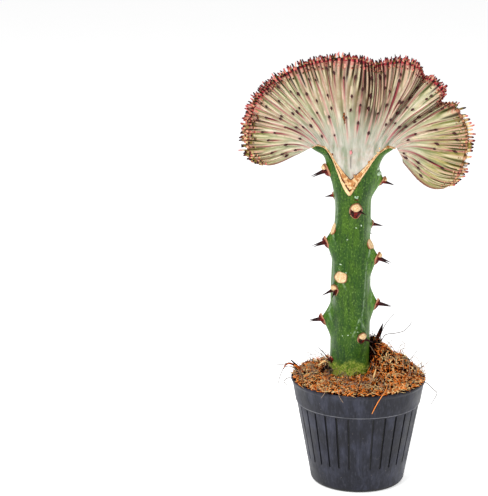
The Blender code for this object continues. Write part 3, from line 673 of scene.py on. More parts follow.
husk = Finish("coir_fibre", 0.85, 0.1)
fibre_tint = husk.plus("tint", husk.span(husk.noise(1.6, 3.0), 0.3, 0.7, -0.14, 0.14))
husk.colour(screen(12, 1, 0))
husk.coat_where(fibre_tint, 0.22, 0.38, screen(158, 62, 14))
husk.coat_where(fibre_tint, 0.36, 0.5, screen(255, 146, 60))
husk.coat_where(fibre_tint, 0.7, 0.92, screen(255, 220, 156))
husk.relief(husk.noise(0.5, 2.0), 0.15)
dice = np.random.default_rng(21)
for name, count, length, thick, lift, bend, steps, tilt, sides, flatness in (
        ("coir_chips", CHIPS, (2.2, 6.0), (0.3, 0.66), (-0.5, 1.8), 0.5, 4, 0.7, 4, 0.6),
        ("coir_strands", STRANDS, (5.0, 13.0), (0.14, 0.3), (0.2, 2.0), 0.9, 6, 0.3, 3, 1.0)):
    paths, width, tint = fibres(dice, count, length, thick, lift, bend, steps, tilt)
    points, faces = tubes(paths, width, sides, flatness)
    add_piece(name, (points, faces, {"tint": each_ring(tint, sides)}), husk.material, "soil")

# %% [markdown]
# ## Loose ends
#
# What sets real coir apart from a brown surface is what sticks out of it: single hairs that
# curl up against the light, a twig, a curled strip of husk over the rim, a fibre that hangs
# down the collar. The large ones have their own places. The hairs are scattered all round.

# %% Single strips, sticks and hairs with a place of their own
def strand(places, radii, tint, steps=14, sides=6, flatness=1.0):
    """One bent piece through places in mm, its radius given at even distances along it."""
    along = np.linspace(0, 1, steps)
    path = curve_through(places, along * (len(places) - 1))
    width = np.interp(along, np.linspace(0, 1, len(radii)), radii)
    points, faces = tubes(path[None], width[None], sides, flatness)
    return points, faces, {"tint": np.full(len(points), tint)}


HUSK_STRIPS = [
    # a curled strip over the left rim, and the sticks beside it
    strand([(-42, -3, 87), (-46.5, -2, 91.3), (-53.6, -1, 94.6), (-57.5, -1, 92.9), (-58.6, -1, 90)],
           (1.2, 1.5, 1.3, 1, 0.6), 0.34, 18, 6, 0.5),
    strand([(-45.5, 2, 89), (-48.5, 1, 92.6), (-52.8, 0, 97)], (0.9, 0.8, 0.5), 0.05),
    strand([(-22.6, -4, 98), (-26.5, -4, 102.8), (-31.9, -5, 109.2)], (0.5, 0.4, 0.22), 0.1),
    # a dark chip and a pale one against the foot of the stem
    strand([(-28.5, -5, 90.5), (-25.2, -7, 93.2), (-21.6, -9, 92)], (1.2, 2.3, 1.2), 0.02, 10, 7, 0.8),
    strand([(-31.5, -2, 93.5), (-27, -3, 97), (-24, -4, 97.8)], (0.6, 1.5, 0.7), 0.95, 10, 7, 0.6),
    # a twig on the plug, and dark sticks along the plug's edge
    strand([(10.5, -1, 109.5), (13.4, 0, 112.7), (15.6, 0, 118.4), (17.3, 0, 123.2), (18.4, 0, 127)],
           (0.5, 0.7, 1.7, 1.1, 0.15), 0.16),
    strand([(8.6, -5, 113.8), (12, -4, 113.4), (18, -2, 111.2)], (0.5, 0.8, 0.5), 0.12),
    strand([(12, -6, 112.2), (19.5, -4, 108.6), (27, -2, 103.8)], (0.6, 0.9, 0.4), 0.3),
    strand([(11.3, -11, 104), (12, -12, 95), (12.6, -14, 88.5)], (0.5, 0.7, 0.5), 0.16),
    # a split husk that stands in the slot
    strand([(9.6, -19, 85.6), (10.8, -19.5, 90.6), (12.3, -18, 95.4)], (0.7, 1.7, 0.6), 1, 12, 8, 0.45),
    # a pale fibre over the collar
    strand([(19.2, -43.5, 91), (17.6, -49.2, 88), (13.8, -52.3, 83.4), (10.4, -50.6, 76.5),
            (7.5, -49.9, 69.8)], (0.2, 0.22, 0.26, 0.34, 0.28), 0.68)]
LOOSE_STRIPS = 34
LOOSE_REACH = 44.0
dice = np.random.default_rng(17)
for _ in range(LOOSE_STRIPS):
    place, tint = spread_over_bed(dice, 1, LOOSE_REACH)[0], dice.uniform(0.0, 0.9)
    foot = on_bed(place)
    heading = unit(dice.normal(size=3) * [1, 1, 0.35] + [0, 0, 0.45])
    size = dice.uniform(5.0, 10.0)
    bend = dice.normal(size=3) * 0.8
    HUSK_STRIPS.append(strand([foot - heading, foot + heading * size * 0.5 + bend, foot + heading * size],
                              (0.45, 0.5, 0.2), tint, 8, 5, 0.7))
add_piece("husk_strips", joined(HUSK_STRIPS), husk.material, "soil")

# %% Hairs that curl up out of the bed
HAIRS = 220
HAIR_REACH = 50.0
HAIR_RADIUS = 0.25
HAIRS_STAY_WITHIN = 51.5  # to the front and the back, so that they keep inside the solid's box
dice = np.random.default_rng(29)
hairs = [
    # two long hairs over the plug and one beside the right rim
    strand([(13, 2, 108), (17.3, 2, 111.9), (20.8, 2, 117), (28.1, 2, 118.2), (35.1, 2, 120.2),
            (40.1, 2, 125.7), (40.3, 2, 129.5)], (0.34, 0.3, 0.2), 0.1, 40, 4),
    strand([(14, 2, 108), (17.3, 2, 112.7), (16.8, 2, 115.9), (18.7, 2, 121.6), (21.7, 2, 127.3),
            (27, 2, 133.8)], (0.34, 0.3, 0.2), 0.1, 40, 4),
    strand([(47, -14, 84), (52.4, -10, 81.5), (58.2, -6, 75), (61.2, -5, 71.6), (59.4, -5, 67),
            (56.8, -5, 62.6)], (0.32, 0.28, 0.18), 0.2, 40, 4),
    # curls beside the strip over the left rim
    strand([(-47, -4, 88), (-52, -3, 92.5), (-57.8, -2, 91.8), (-61.2, -2, 85), (-62.8, -2, 78.2)],
           (0.34, 0.28, 0.18), 0.2, 40, 4),
    strand([(-48, 0, 88), (-53, 0, 94.6), (-58.6, 0, 93.6), (-64.6, 0, 93.4)],
           (0.34, 0.28, 0.18), 0.2, 40, 4),
    strand([(-50, -8, 84), (-55, -8, 85), (-58.4, -8, 82.2), (-56, -8, 79)],
           (0.34, 0.28, 0.18), 0.2, 40, 4),
    # two pale ones over the front of the rim
    strand([(-27, -43, 89), (-28.4, -47.5, 85.8), (-30.8, -45.2, 81)], (0.25, 0.2, 0.15), 0.9, 20, 4),
    strand([(-18, -48, 88), (-17.6, -51.5, 84.5), (-14.6, -51.6, 79.4)], (0.25, 0.2, 0.15), 0.9, 20, 4)]
for place in spread_over_bed(dice, HAIRS, HAIR_REACH):
    foot = on_bed(place)
    outward = np.array([*place, 0.0]) / HAIR_REACH
    size = dice.uniform(6.0, 15.0)
    bends = dice.normal(size=(3, 3)) * [1, 1, 0.8] * size * 0.2
    places = [foot, foot + [0, 0, 0.35 * size] + bends[0], foot + [0, 0, 0.6 * size] + bends[0] + bends[1],
              foot + [0, 0, 0.75 * size] + bends.sum(axis=0)]
    places = np.array(places) + outward * np.array([[0.0], [0.05], [0.15], [0.25]]) * size
    places[:, 1] = np.clip(places[:, 1], -HAIRS_STAY_WITHIN, HAIRS_STAY_WITHIN)
    radii = HAIR_RADIUS * np.array([1.0, 0.8, 0.6])
    hairs.append(strand(places, radii, dice.uniform(0.2, 1.0), 16, 4))
fine_hair = Finish("coir_hair", 0.6)
fine_hair.colour(screen(44, 36, 36))
fine_hair.coat("tint", screen(170, 142, 116))
add_piece("coir_hairs", joined(hairs), fine_hair.material, "soil")

# %% [markdown]
# ## The rootstock
#
# The stem is a straight green column with five blunt edges that hardly show, and swollen
# tubercles that carry the spines. At the top it is split to a V, and its two halves flare out
# into arms. The solid cuts that V with a Boolean. Here each column of the skin simply ends
# where it meets the line of the cut, so the edge of the cut is a clean row of points. At the
# tip of the left arm the cut dips again, so that arm's columns bend inwards to meet it once.

# %% Form of the stem, as in the solid
STEM_RIDGES = 5
STEM_RIDGE_HEIGHT = 0.45
STEM_RIDGE_TWIST = 0.004
# height, half width, half depth, shift to the right
STEM_FORM = [
    (52, 14.6, 14.6, 0), (90, 15.3, 15.2, 0), (125, 15.2, 15, 0),
    (165, 15.1, 14.8, -0.2), (200, 13.9, 14, 0.1), (224, 13.7, 14, 0.4),
    (234, 15.8, 14.4, 0.9), (244, 17.9, 14.4, 1.1), (254, 20.2, 13.8, 0.9),
    (260, 23.8, 12.8, 0.8), (263.5, 29.2, 11.6, 0.2), (266, 32, 10.6, 0),
    (271, 32.6, 9.6, 0)]
# height, bearing from the front in degrees, swell, spread of the swell, spine length, droop
TUBERCLES = [
    (250, -80, 1.8, 4.5, 13, 20), (228, -122, 2.4, 4.5, 7, 10),
    (240.5, 95, 4.4, 5, 9.5, 16), (221, 6, 3, 5, 8.5, 6),
    (206, 112, 3, 4.5, 9.5, 11), (194, -80, 6.8, 6.5, 11, 14),
    (182, 74, 6.6, 6.5, 11, 18), (159, -40, 5, 6.5, 11, 16),
    (144.5, 88, 5.4, 6, 11.5, 10), (132, -88, 6.6, 6, 11, 6),
    (120.5, 25, 4, 6.5, 9, 8), (101, -66, 1.6, 4, 4.5, 10),
    (236, 165, 3.2, 5, 7.5, 20), (213, -168, 3.8, 5.5, 8, 18),
    (198, 152, 4.6, 6, 9.5, 20), (181, -157, 5.2, 6, 9.5, 22),
    (166, 170, 5.2, 6, 9.5, 20), (152, -168, 4.8, 6, 9, 20),
    (139, 138, 5, 6, 9.5, 15), (121, -150, 4.4, 6, 8.5, 12),
    (112, 165, 3.2, 5.5, 7.5, 10)]
TUBERCLE_WIDTH = 0.78  # half width of a tubercle, in spreads
SHELF_REACH, TAIL_REACH = 2.0, 2.7  # how far a swell reaches up and down the stem, in spreads
# the cut seen from the front, left arm to right arm (x, z)
CUT = np.array([
    (-38.2, 265.4), (-34.6, 267.8), (-29.4, 266.8), (-25.7, 263), (-22.4, 256.8), (-19, 248),
    (-14.6, 237), (-9.6, 230.4), (-4.4, 237.6), (0.6, 245.6), (4.6, 251.8), (8.6, 257.6),
    (13, 262.4), (19.4, 266.2), (25.2, 264.6)])


def tubercle_swell(across, up, spread):
    """Share of a tubercle's rise: a shelf with a steep top and a long tail down the stem."""
    reach = np.where(up > 0, SHELF_REACH, TAIL_REACH) * spread
    share = np.maximum(1 - (np.hypot(up, 0.8) - 0.8) / reach, 0) ** 1.3
    return share * np.exp(-(across / (TUBERCLE_WIDTH * spread)) ** 2)


def from_tubercle(bearing, half_depth, degrees):
    """Distance round the stem from a tubercle's middle line, mm."""
    turn = (bearing - math.radians(degrees) + math.pi) % (2 * math.pi) - math.pi
    return turn * half_depth


def stem_point(z, bearing):
    """Points on the stem's skin, mm; bearing in radians from the front, right positive."""
    z, bearing = np.broadcast_arrays(np.asarray(z, float), np.asarray(bearing, float))
    half_width, half_depth, shift = np.moveaxis(blend_rows(STEM_FORM, z), -1, 0)
    swell = np.zeros(z.shape)
    for height, degrees, rise, spread, _, _ in TUBERCLES:
        swell += rise * tubercle_swell(from_tubercle(bearing, half_depth, degrees), z - height, spread)
    ridge = np.cos(STEM_RIDGES * (bearing + z * STEM_RIDGE_TWIST)) * ramp(240.0, 215.0, z)
    grow = 1 + (swell + STEM_RIDGE_HEIGHT * ridge) / half_depth
    return np.stack([STEM_X + shift + half_width * grow * np.sin(bearing),
                     -half_depth * grow * np.cos(bearing), z], axis=-1)


# %% Each column of the skin ends at the cut
STEM_SIDES, STEM_ROWS = 260, 230
ARM_BEND = math.radians(12)  # how far the left arm's columns bend inwards
ARM_FROM, ARM_TO = 256.0, 264.0
CUT_STEPS = 240
CUT_LOW, CUT_HIGH, SEARCH_STEPS = 226.0, 269.0, 861  # heights between which the cut is searched for
first_bearings = 2 * math.pi * np.arange(STEM_SIDES) / STEM_SIDES


def bent_bearing(z):
    """Bearing of each column at a height, or at one height for each column."""
    bend = ARM_BEND * ramp(ARM_FROM, ARM_TO, z) * (np.sin(first_bearings) < 0)
    return first_bearings - bend * np.sin(2 * first_bearings)


cut_curve = curve_through(CUT, np.linspace(0, len(CUT) - 1, CUT_STEPS))
search = np.linspace(CUT_LOW, CUT_HIGH, SEARCH_STEPS)
probe = stem_point(search[:, None], bent_bearing(search[:, None]))
over_cut = search[:, None] > np.interp(probe[..., 0], cut_curve[:, 0], cut_curve[:, 1])
stem_tops = search[over_cut.argmax(axis=0)]
rise = np.linspace(0.0, 1.0, STEM_ROWS) ** 0.92
heights = STEM_FOOT + rise[:, None] * (stem_tops - STEM_FOOT)[None]
stem_bearings = bent_bearing(heights)
skin = stem_point(heights, stem_bearings)
outward = unit(skin * [1, 1, 0] - [STEM_X, 0, 0])
dents = 0.12 * uneven(skin * [1, 1, 0.3], 6.0, 9) + 0.12 * uneven(skin, 14.0, 10)
skin = skin + outward * dents[..., None]
print("the cut is lowest at z", round(float(stem_tops.min()), 1), "mm")

# %% Where the skin is waxy, and which part of it faces the light
WAXY_SWELL = 3.9  # only tubercles that swell this much have lines below them
# worn edges: height and bearing in degrees of the upper end, and of the lower one
EDGE_LINES = (((178, 47), (126, 30)), ((156, -62), (134, -84)),
              ((190, -84), (163, -66)), ((228, 60), (186, 66)),
              ((226, -56), (200, -66)))


def waxy(z, bearing):
    """Pale lines: two that run down from the top of each large tubercle, and worn rib edges."""
    half_depth = blend_rows(STEM_FORM, z)[..., 1]
    wax = np.zeros(np.shape(z))
    for height, degrees, swell, spread, _, _ in TUBERCLES:
        if swell < WAXY_SWELL:
            continue
        apex = height + SHELF_REACH * spread + 1.0
        across = np.abs(from_tubercle(bearing, half_depth, degrees))
        line = across - 0.42 * (apex - z)
        near = np.exp(-(line / 0.55) ** 2) * ramp(apex + 1.0, apex - 0.5, z) * ramp(height - 3, height + 5, z)
        wax = np.maximum(wax, near * (1.0 if abs(degrees) < 100 else 0.4))
    for (top, top_degrees), (low, low_degrees) in EDGE_LINES:
        degrees = np.interp(z, [low, top], [low_degrees, top_degrees])
        turn = (bearing - np.radians(degrees) + math.pi) % (2 * math.pi) - math.pi
        line = np.exp(-(turn * half_depth / 0.6) ** 2) * ramp(low - 3, low + 6, z) * ramp(top + 3, top - 6, z)
        wax = np.maximum(wax, 0.7 * line)
    return wax


# front: how far the skin faces us, for the painted sheen on its sides
skin_marks = {"wax": waxy(heights, stem_bearings), "front": np.cos(stem_bearings + 0.2)}

# %% Close the V between the front and the back of each arm
STEM_BRIDGE = 6
mirror = (STEM_SIDES // 2 - np.arange(STEM_SIDES)) % STEM_SIDES
rows = [skin]
for step in range(1, STEM_BRIDGE + 1):
    share = 0.5 * step / STEM_BRIDGE
    rows.append((skin[-1] + share * (skin[-1][mirror] - skin[-1]))[None])
stem_points = np.concatenate(rows)
stem_faces = grid_faces(len(stem_points), STEM_SIDES, True) + [list(range(STEM_SIDES))[::-1]]
no_marks = np.zeros((STEM_BRIDGE, STEM_SIDES))
stem_marks = {name: np.concatenate([values, no_marks]).reshape(-1) for name, values in skin_marks.items()}
stem_shape = (stem_points.reshape(-1, 3), stem_faces, stem_marks)

# %% [markdown]
# The skin is a deep green, most of all where it faces us; its paler, greyer sides are a painted sheen.
# It is finely streaked lengthwise and speckled. Pale lines of wax run down from the large
# tubercles. Just above the coir, where it stays damp, it is yellow-green with moss, and a fuzz
# of 1,500 short hairs stands on it. Its gloss is broad and soft, so its roughness varies.

# %% Green skin
green = Finish("stem_skin", 0.42, 0.26)
streaks = green.noise(2.2, 4.0, green.upright_grain(0.16))
clouds = green.noise(11.0, 3.0, green.upright_grain(0.5))
speckle = green.noise(1.0, 4.0, green.upright_grain(0.6))
green.colour(screen(90, 136, 38))
# painted sheen: deeper green where the skin faces us, paler and greyer towards both sides
green.coat_where("front", -0.2, 0.95, screen(34, 74, 4))
warm = green.times(green.span("front", 0.72, 1.0), green.span(clouds, 0.36, 0.6))
green.coat(warm, screen(60, 96, 2))
green.coat_where(streaks, 0.5, 0.36, screen(18, 50, 6), 0.55)
green.coat_where(streaks, 0.56, 0.72, screen(94, 130, 40), 0.4)
green.coat_where(speckle, 0.47, 0.32, screen(16, 48, 2), 0.75)
green.coat_where(speckle, 0.55, 0.68, screen(118, 152, 66), 0.55)
wax_share = green.times("wax", green.span(green.noise(2.6, 4.0), 0.34, 0.56))
green.coat(green.times(wax_share, 0.6), screen(168, 192, 156))
damp = green.plus(green.height(), green.span(green.noise(8.0, 3.0), 0.25, 0.75, -5 * MM, 5 * MM))
mossy = green.between(green.noise(1.3, 3.0), 0.4, 0.6, screen(112, 146, 36), screen(190, 200, 84))
green.coat_where(damp, 101 * MM, 89 * MM, mossy)
green.patchy(7.0, 0.3, 0.5)
fine = green.relief(streaks, 0.25)
green.relief(speckle, 0.1, fine)
add_piece("stem", stem_shape, green.material, "rootstock")

# %% Moss and fuzz round the foot of the stem
FUZZ = 1500
FUZZ_STEPS, FUZZ_SIDES = 4, 3
fuzz_dice = np.random.default_rng(33)
fuzz_bearing = fuzz_dice.uniform(0, 2 * math.pi, FUZZ)
fuzz_height = 84.0 + 11.0 * fuzz_dice.uniform(0, 1, FUZZ) ** 1.5
fuzz_root = stem_point(fuzz_height, fuzz_bearing)
fuzz_out = unit(fuzz_root * [1, 1, 0] - [STEM_X, 0, 0])
fuzz_heading = unit(fuzz_out * 0.7 + [0, 0, 0.35] + fuzz_dice.normal(size=(FUZZ, 3)) * 0.45)
fuzz_size = fuzz_dice.uniform(0.8, 2.8, (FUZZ, 1, 1))
along = np.linspace(-0.2, 1.0, FUZZ_STEPS)
fuzz_paths = fuzz_root[:, None] + fuzz_heading[:, None] * fuzz_size * along[:, None]
fuzz_width = np.broadcast_to(0.2 * (1.1 - along), fuzz_paths.shape[:2])
points, faces = tubes(fuzz_paths, fuzz_width, FUZZ_SIDES)
fuzz_tint = np.repeat(fuzz_dice.uniform(0, 1, FUZZ), FUZZ_STEPS * FUZZ_SIDES)
moss_hair = Finish("moss", 0.8)
moss_hair.colour(screen(122, 158, 40))
moss_hair.coat("tint", screen(232, 218, 128))
add_piece("foot_moss", (points, faces, {"tint": fuzz_tint}), moss_hair.material, "rootstock")

# %% [markdown]
# ## Scars, areoles and spines
#
# Each tubercle once carried a leaf. On six of them its smooth oval scar still shows, the
# colour of straw. Below it sits a dark red horny shield with two dark spines and a bud over
# them, which is pale on eight. A few green buds sprout at the top, and white drops of latex
# have dried where the skin was nicked. All but the spines are domes: a disc of rings pushed
# out along the skin's normal, with an uneven outline of its own. The spines on a side tubercle
# are pressed together, as they are seen edge on, and those that face us open to a fork.

# %% A dome on the skin
DOME_RINGS, DOME_SIDES = 8, 32
STEM_RADIUS = 14.0  # turns a small step along the skin to a step in its bearing


def skin_frame(z, bearing):
    """Point on the skin, and the directions to the right, up and out of the skin there."""
    step = 0.4
    here = stem_point(z, bearing)
    turn = step / STEM_RADIUS
    right = unit(stem_point(z, bearing + turn) - stem_point(z, bearing - turn))
    up = unit(stem_point(z + step, bearing) - stem_point(z - step, bearing))
    out = unit(np.cross(right, up))
    return here, right, np.cross(out, right), out


def dome(frame_here, half_width, half_height, rise, seed, power=2.0, ragged=0.08, drop=0.0):
    """Closed dome: rings from the middle out, its rim sunk under the skin; drop makes it a tear."""
    centre, right, up, out = frame_here
    share = np.linspace(0.06, 1.0, DOME_RINGS)[:, None]
    angle = 2 * math.pi * np.arange(DOME_SIDES)[None] / DOME_SIDES
    round_edge = np.stack([np.cos(angle), np.sin(angle), np.full_like(angle, seed)], -1) * 9
    edge = 1 + ragged * uneven(round_edge, 7.0, seed)
    low = np.maximum(-np.sin(angle), 0)
    flat = (right * (half_width * share * edge * np.cos(angle) * (1 - 0.5 * drop * low))[..., None]
            + up * (half_height * share * edge * np.sin(angle) * (1 + 0.5 * drop * low))[..., None])
    lift = rise * (1 - share ** power) - 0.35 * share ** 4
    points = centre + flat + out * (lift * np.ones_like(angle))[..., None]
    under = points[-1:] - out * 0.5
    points = np.concatenate([points, under])
    faces = [face[::-1] for face in capped_grid(DOME_RINGS + 1, DOME_SIDES)]
    rim = np.concatenate([np.repeat(share[:, 0], DOME_SIDES), np.ones(DOME_SIDES)])
    return points.reshape(-1, 3), faces, {"rim": rim}


# %% Scars, shields and buds on every tubercle
# tubercles go by their height: size of the pale bud, then half width, half height and rise of
# the largest shields, then those with a scar
PALE_BUDS = {250: 1.9, 221: 2.1, 240.5: 1.3, 182: 1, 159: 1.2, 120.5: 1.6, 198: 1, 152: 1}
SHIELDS = {221: (4.7, 6, 2.4), 250: (3.8, 5.6, 3), 120.5: (3.4, 4.6, 2.2)}
SCARRED = (194, 182, 159, 198, 166, 139)
scars, shields, buds, spine_paths = [], [], [], []
for index, (height, degrees, swell, spread, length, droop) in enumerate(TUBERCLES):
    bearing = math.radians(degrees)
    bud_size = PALE_BUDS.get(height, 0.75)
    size = 0.52 + 0.11 * swell
    here = skin_frame(height - 1.2, bearing)
    wide, tall, rise = SHIELDS.get(height, (3.0 * size, 3.7 * size, 1.7 * size))
    shields.append(dome(here, wide, tall, rise, 40 + index, 2.4, drop=0.15 if height in SHIELDS else 0.8))
    bud_place = (here[0] + here[2] * 0.52 * tall + here[3] * 0.3 * rise, *here[1:])
    bud_size *= size
    bud = dome(bud_place, 2.3 * bud_size, 2.0 * bud_size, 1.8 * bud_size, 70 + index, 2.2)
    (buds if height in PALE_BUDS else shields).append(bud)
    if height in SCARRED:
        facing = abs(degrees) < 60
        scar_place = skin_frame(height + 6.6 * size + 1.2, bearing * (0.76 if facing else 0.94))
        scar_size = size * (1.2 if facing else 1.0)
        scars.append(dome(scar_place, 3.6 * scar_size, 3.9 * scar_size, 0.6, 100 + index, 4.0, ragged=0.16))
    lean = math.radians(droop)
    for side in (-1, 1):
        around = np.array([math.cos(bearing), math.sin(bearing), 0.0])
        out = np.array([math.sin(bearing), -math.cos(bearing), 0.0])
        apart = around * side * (0.01 + 0.45 * math.cos(bearing) ** 2)
        heading = unit(out * math.cos(lean) - np.array([0, 0, 1]) * math.sin(lean) + apart)
        root = here[0] + around * side * 0.45 * wide - heading * 0.6
        spine_paths.append((root, heading, length + 0.6, around * side * abs(math.cos(bearing))))
print(len(shields), "shields,", len(scars), "leaf scars,", len(spine_paths), "spines")

# %% Small green buds over the topmost shields, and a dark dome under one, painted shade of a slit
SPROUTS = ((230.2, 6, 1), (246, 80, 1.5), (250.4, 74, 1.1))  # height, bearing in degrees, size
green_buds = []
for index, (height, degrees, size) in enumerate(SPROUTS):
    place = skin_frame(height, math.radians(degrees))
    green_buds.append(dome(place, 1.8 * size, 1.3 * size, 0.8 * size, 190 + index, ragged=0.3))
# painted shade: a flat dark dome of the horn finish stands for the shade in a small slit under the lowest bud
slit_shade = [dome(skin_frame(228.2, math.radians(6.0)), 1.6, 0.6, 0.4, 194, ragged=0.2)]
sprout = Finish("sprout_green", 0.5)
sprout.colour(screen(120, 160, 120))
sprout.coat_where(sprout.noise(1.0, 3.0), 0.4, 0.6, screen(196, 214, 186))
add_piece("bud_sprouts", joined(green_buds), sprout.material, "rootstock")

# %% The spines, thick at the root and drawn out to a fine, slightly hooked tip
SPINE_STEPS, SPINE_SIDES = 9, 10
along = np.linspace(0, 1, SPINE_STEPS)
paths = np.stack([root + heading * length * along[:, None] + sideways * 0.9 * along[:, None] ** 2
                  - np.array([0, 0, 0.5]) * along[:, None] ** 2
                  for root, heading, length, sideways in spine_paths])
widths = 1.5 * (1 - along) ** 1.1 + 0.1
spine_points, spine_faces = tubes(paths, np.broadcast_to(widths, paths.shape[:2]), SPINE_SIDES)
spine_tip = each_ring(np.broadcast_to(along, paths.shape[:2]), SPINE_SIDES)
spine_shape = (spine_points, spine_faces, {"tip": spine_tip})

# %% Drops of dried latex where the skin was nicked
LATEX_PLACES = ((196.8, -18), (177.2, -36), (206.2, 10), (207.7, 26), (121.5, -10), (120.7, -26), (123.4, -2),
                (124.4, 16), (171.0, -18), (150.0, 148), (188.0, 200))  # height, bearing in degrees
drops = []
for index, (height, degrees) in enumerate(LATEX_PLACES):
    drop_size = 0.55 + 0.2 * math.sin(7.0 * index)
    place = skin_frame(height, math.radians(degrees))
    drops.append(dome(place, 1.2 * drop_size, 0.9 * drop_size, 0.6 * drop_size, 150 + index, ragged=0.3))
latex = Finish("latex", 0.4)
latex.colour(screen(196, 226, 186))
latex.coat(latex.noise(0.6), screen(232, 242, 222))
add_piece("latex_drops", joined(drops), latex.material, "rootstock")

# %% Finishes of the horny parts
horn = Finish("areole_horn", 0.34, 0.14)
horn.colour(screen(22, 4, 5))
horn.coat_where(horn.noise(1.6, 3.0), 0.36, 0.64, screen(122, 26, 20))
horn.coat_where("tip", 0.1, 0.5, screen(38, 10, 12))
horn.coat_where("rim", 0.82, 0.96, screen(190, 134, 104))
horn.relief(horn.noise(0.6, 3.0), 0.3)
straw = Finish("scar_straw", 0.7)
straw.colour(screen(216, 176, 122))
straw.coat_where(straw.noise(1.1, 4.0), 0.35, 0.65, screen(244, 218, 174))
straw.coat_where(straw.noise(0.5, 2.0), 0.56, 0.66, screen(204, 140, 108), 0.6)
straw.coat_where("rim", 0.78, 0.97, screen(138, 84, 50))
straw.relief(straw.noise(0.8, 4.0), 0.35)
horny = joined(shields + slit_shade + [spine_shape])
add_piece("areoles_and_spines", horny, horn.material, "rootstock")
add_piece("leaf_scars_and_buds", joined(scars + buds), straw.material, "rootstock")

# %% [markdown]
# ## The fan's middle surface
#
# The fan is one growing line drawn out and folded. Its margin is a curve through 29 points,
# one for each main rib, and each rib flows to it from the scion's stem on a cubic curve. All
# else is measured from that surface: how thick the flesh is, where the ribs rise and where
# the colours change. The numbers are those of the solid, so the fine skin lies on it.

# %% Flow of the ribs, as in the solid
MARGIN = [
    (-75.5, -12, 255), (-84.5, -15, 260.5), (-89, -17, 270), (-89.5, -18, 281),
    (-87.5, -17, 292), (-84.5, -14, 301), (-80, -9, 308), (-73.5, -4, 315),
    (-63.5, 0, 321), (-52.5, 3, 327), (-40, 2, 332), (-27, -3, 335.5),
    (-13, -5, 336.5), (-2, 0, 334), (9, 12, 328.5), (19, 5, 331.5),
    (29, -6, 334.5), (40.5, -5, 330), (46.5, 9, 319), (53.5, -1, 318.5),
    (61.5, -7, 311.5), (59.4, 5.5, 299.8), (70, -4, 299.5), (78.5, -9, 287),
    (81, -9, 275), (80.5, -8, 263), (77, -6, 249.5), (71.5, -3, 240.5),
    (62.5, 0, 234.5)]
# main rib, foot on the scion's stem (x), then the first and the second handle (x, z)
COURSE = [
    (0, -24, -33, 292, -56, 246), (1.5, -22.6, -30, 289, -58, 261),
    (3, -21, -26.5, 285, -58.5, 276.5), (6, -17.5, -21, 282, -57, 288),
    (10, -12.5, -14.5, 275, -32.5, 300), (12, -10.2, -8.5, 274, -16, 300),
    (14, -7.8, -1, 273, 13.5, 297), (16, -5.2, 4, 274, 29.5, 299),
    (18, -2.6, 8, 281, 35, 301.5), (21, 1.2, 12, 281.5, 39.5, 286),
    (24, 5, 15.5, 287, 44, 270), (26, 7.6, 18, 297, 42, 249),
    (28, 10, 20, 306, 34, 224)]
SEAM = np.array([
    (-38.4, 268), (-34, 270.2), (-28.5, 268.5), (-24, 263.4), (-20.2, 257), (-16.4, 251.8),
    (-12.6, 247.2), (-8.8, 243.4), (-5.4, 246.4), (-2, 249.4), (2.4, 253.8), (7.4, 259.6),
    (12.6, 265.2), (19, 269.2), (25.4, 267.4)])
MAIN_RIBS = len(MARGIN) - 1
SCION_FOOT = 226.0
FAN_END = 0.97
LEAN_GROWTH = 2.2
NECK_HALF_DEPTH = 12.5
EDGE_HALF_DEPTH = 3.2
NECK_POWER = 1.3


def fan_middle(rib, s):
    """Points on the fan's middle surface, mm: rib number, and s from the foot (0) to the margin (1)."""
    rib, s = np.broadcast_arrays(np.asarray(rib, float), np.asarray(s, float))
    foot, x1, z1, x2, z2 = np.moveaxis(blend_rows(COURSE, rib), -1, 0)
    x3, y3, z3 = np.moveaxis(curve_through(MARGIN, rib), -1, 0)
    w0, w1, w2, w3 = (1 - s) ** 3, 3 * s * (1 - s) ** 2, 3 * s * s * (1 - s), s ** 3
    x = w0 * foot + w1 * x1 + w2 * x2 + w3 * x3
    z = w0 * SCION_FOOT + w1 * z1 + w2 * z2 + w3 * z3
    return np.stack([x, y3 * s ** LEAN_GROWTH, z], axis=-1)


def fan_axes(rib, s):
    """Direction outward along the ribs and direction towards the front face."""
    rib, s = np.broadcast_arrays(np.asarray(rib, float), np.asarray(s, float))
    across = fan_middle(np.minimum(rib + 1, MAIN_RIBS), s) - fan_middle(np.maximum(rib - 1, 0), s)
    outward = unit(fan_middle(rib, s) - fan_middle(rib, s - 0.02))
    share = ramp(0.55, 1.05, s)[..., None]
    front = np.array([0.0, -1.0, 0.0]) * (1 - share) + unit(np.cross(across, outward)) * share
    front[..., 1] = np.minimum(front[..., 1], -0.45)
    return outward, unit(front)


def half_depth(rib, s):
    """Half thickness of the flesh, mm: a deep oval at the neck, thin with a round edge at the margin."""
    side = np.minimum(np.abs(2 * rib / MAIN_RIBS - 1), 0.9985)
    neck = (NECK_HALF_DEPTH - EDGE_HALF_DEPTH) * np.sqrt(1 - side ** 2.4)
    neck = neck * (1 - ramp(0.1, 0.95, s)) ** NECK_POWER
    return neck + EDGE_HALF_DEPTH * np.sqrt(1 - side ** (10 + 34 * s))


# %% [markdown]
# ## Ribs of the fan
#
# Each rib is a row of tubercles that have run together: a narrow keel that climbs outward to a
# thorn, drops behind it and climbs again. The 29 main ribs leave the neck close together and
# spread. A second set comes in halfway and a third near the margin, so that the teeth end up
# about 3 mm apart, with deep gaps. Between two keels the flesh swells softly. All this is
# raised on the grid by a formula, and the same formula stores marks for the colours, so that
# colour and form agree.

# %% Where each rib runs, where it begins and where its thorns are
LINES = 2 * MAIN_RIBS + 1  # main ribs and, between them, the halves
BACK_SHIFT = 0.5  # the back's ribs run between those of the front
HALF_START, QUARTER_START = 0.60, 0.77  # the place s where the second and the third set begin
RIB_LENGTH = 105.0
FAR = 9.0  # a place s beyond every thorn
GRID_COLUMNS, GRID_ROWS = 561, 155
# folds of the fan: main rib, half width in ribs, depth
FOLDS = ((14.2, 1.1, 1.0), (18.2, 0.45, 0.9), (21.2, 0.4, 0.55))
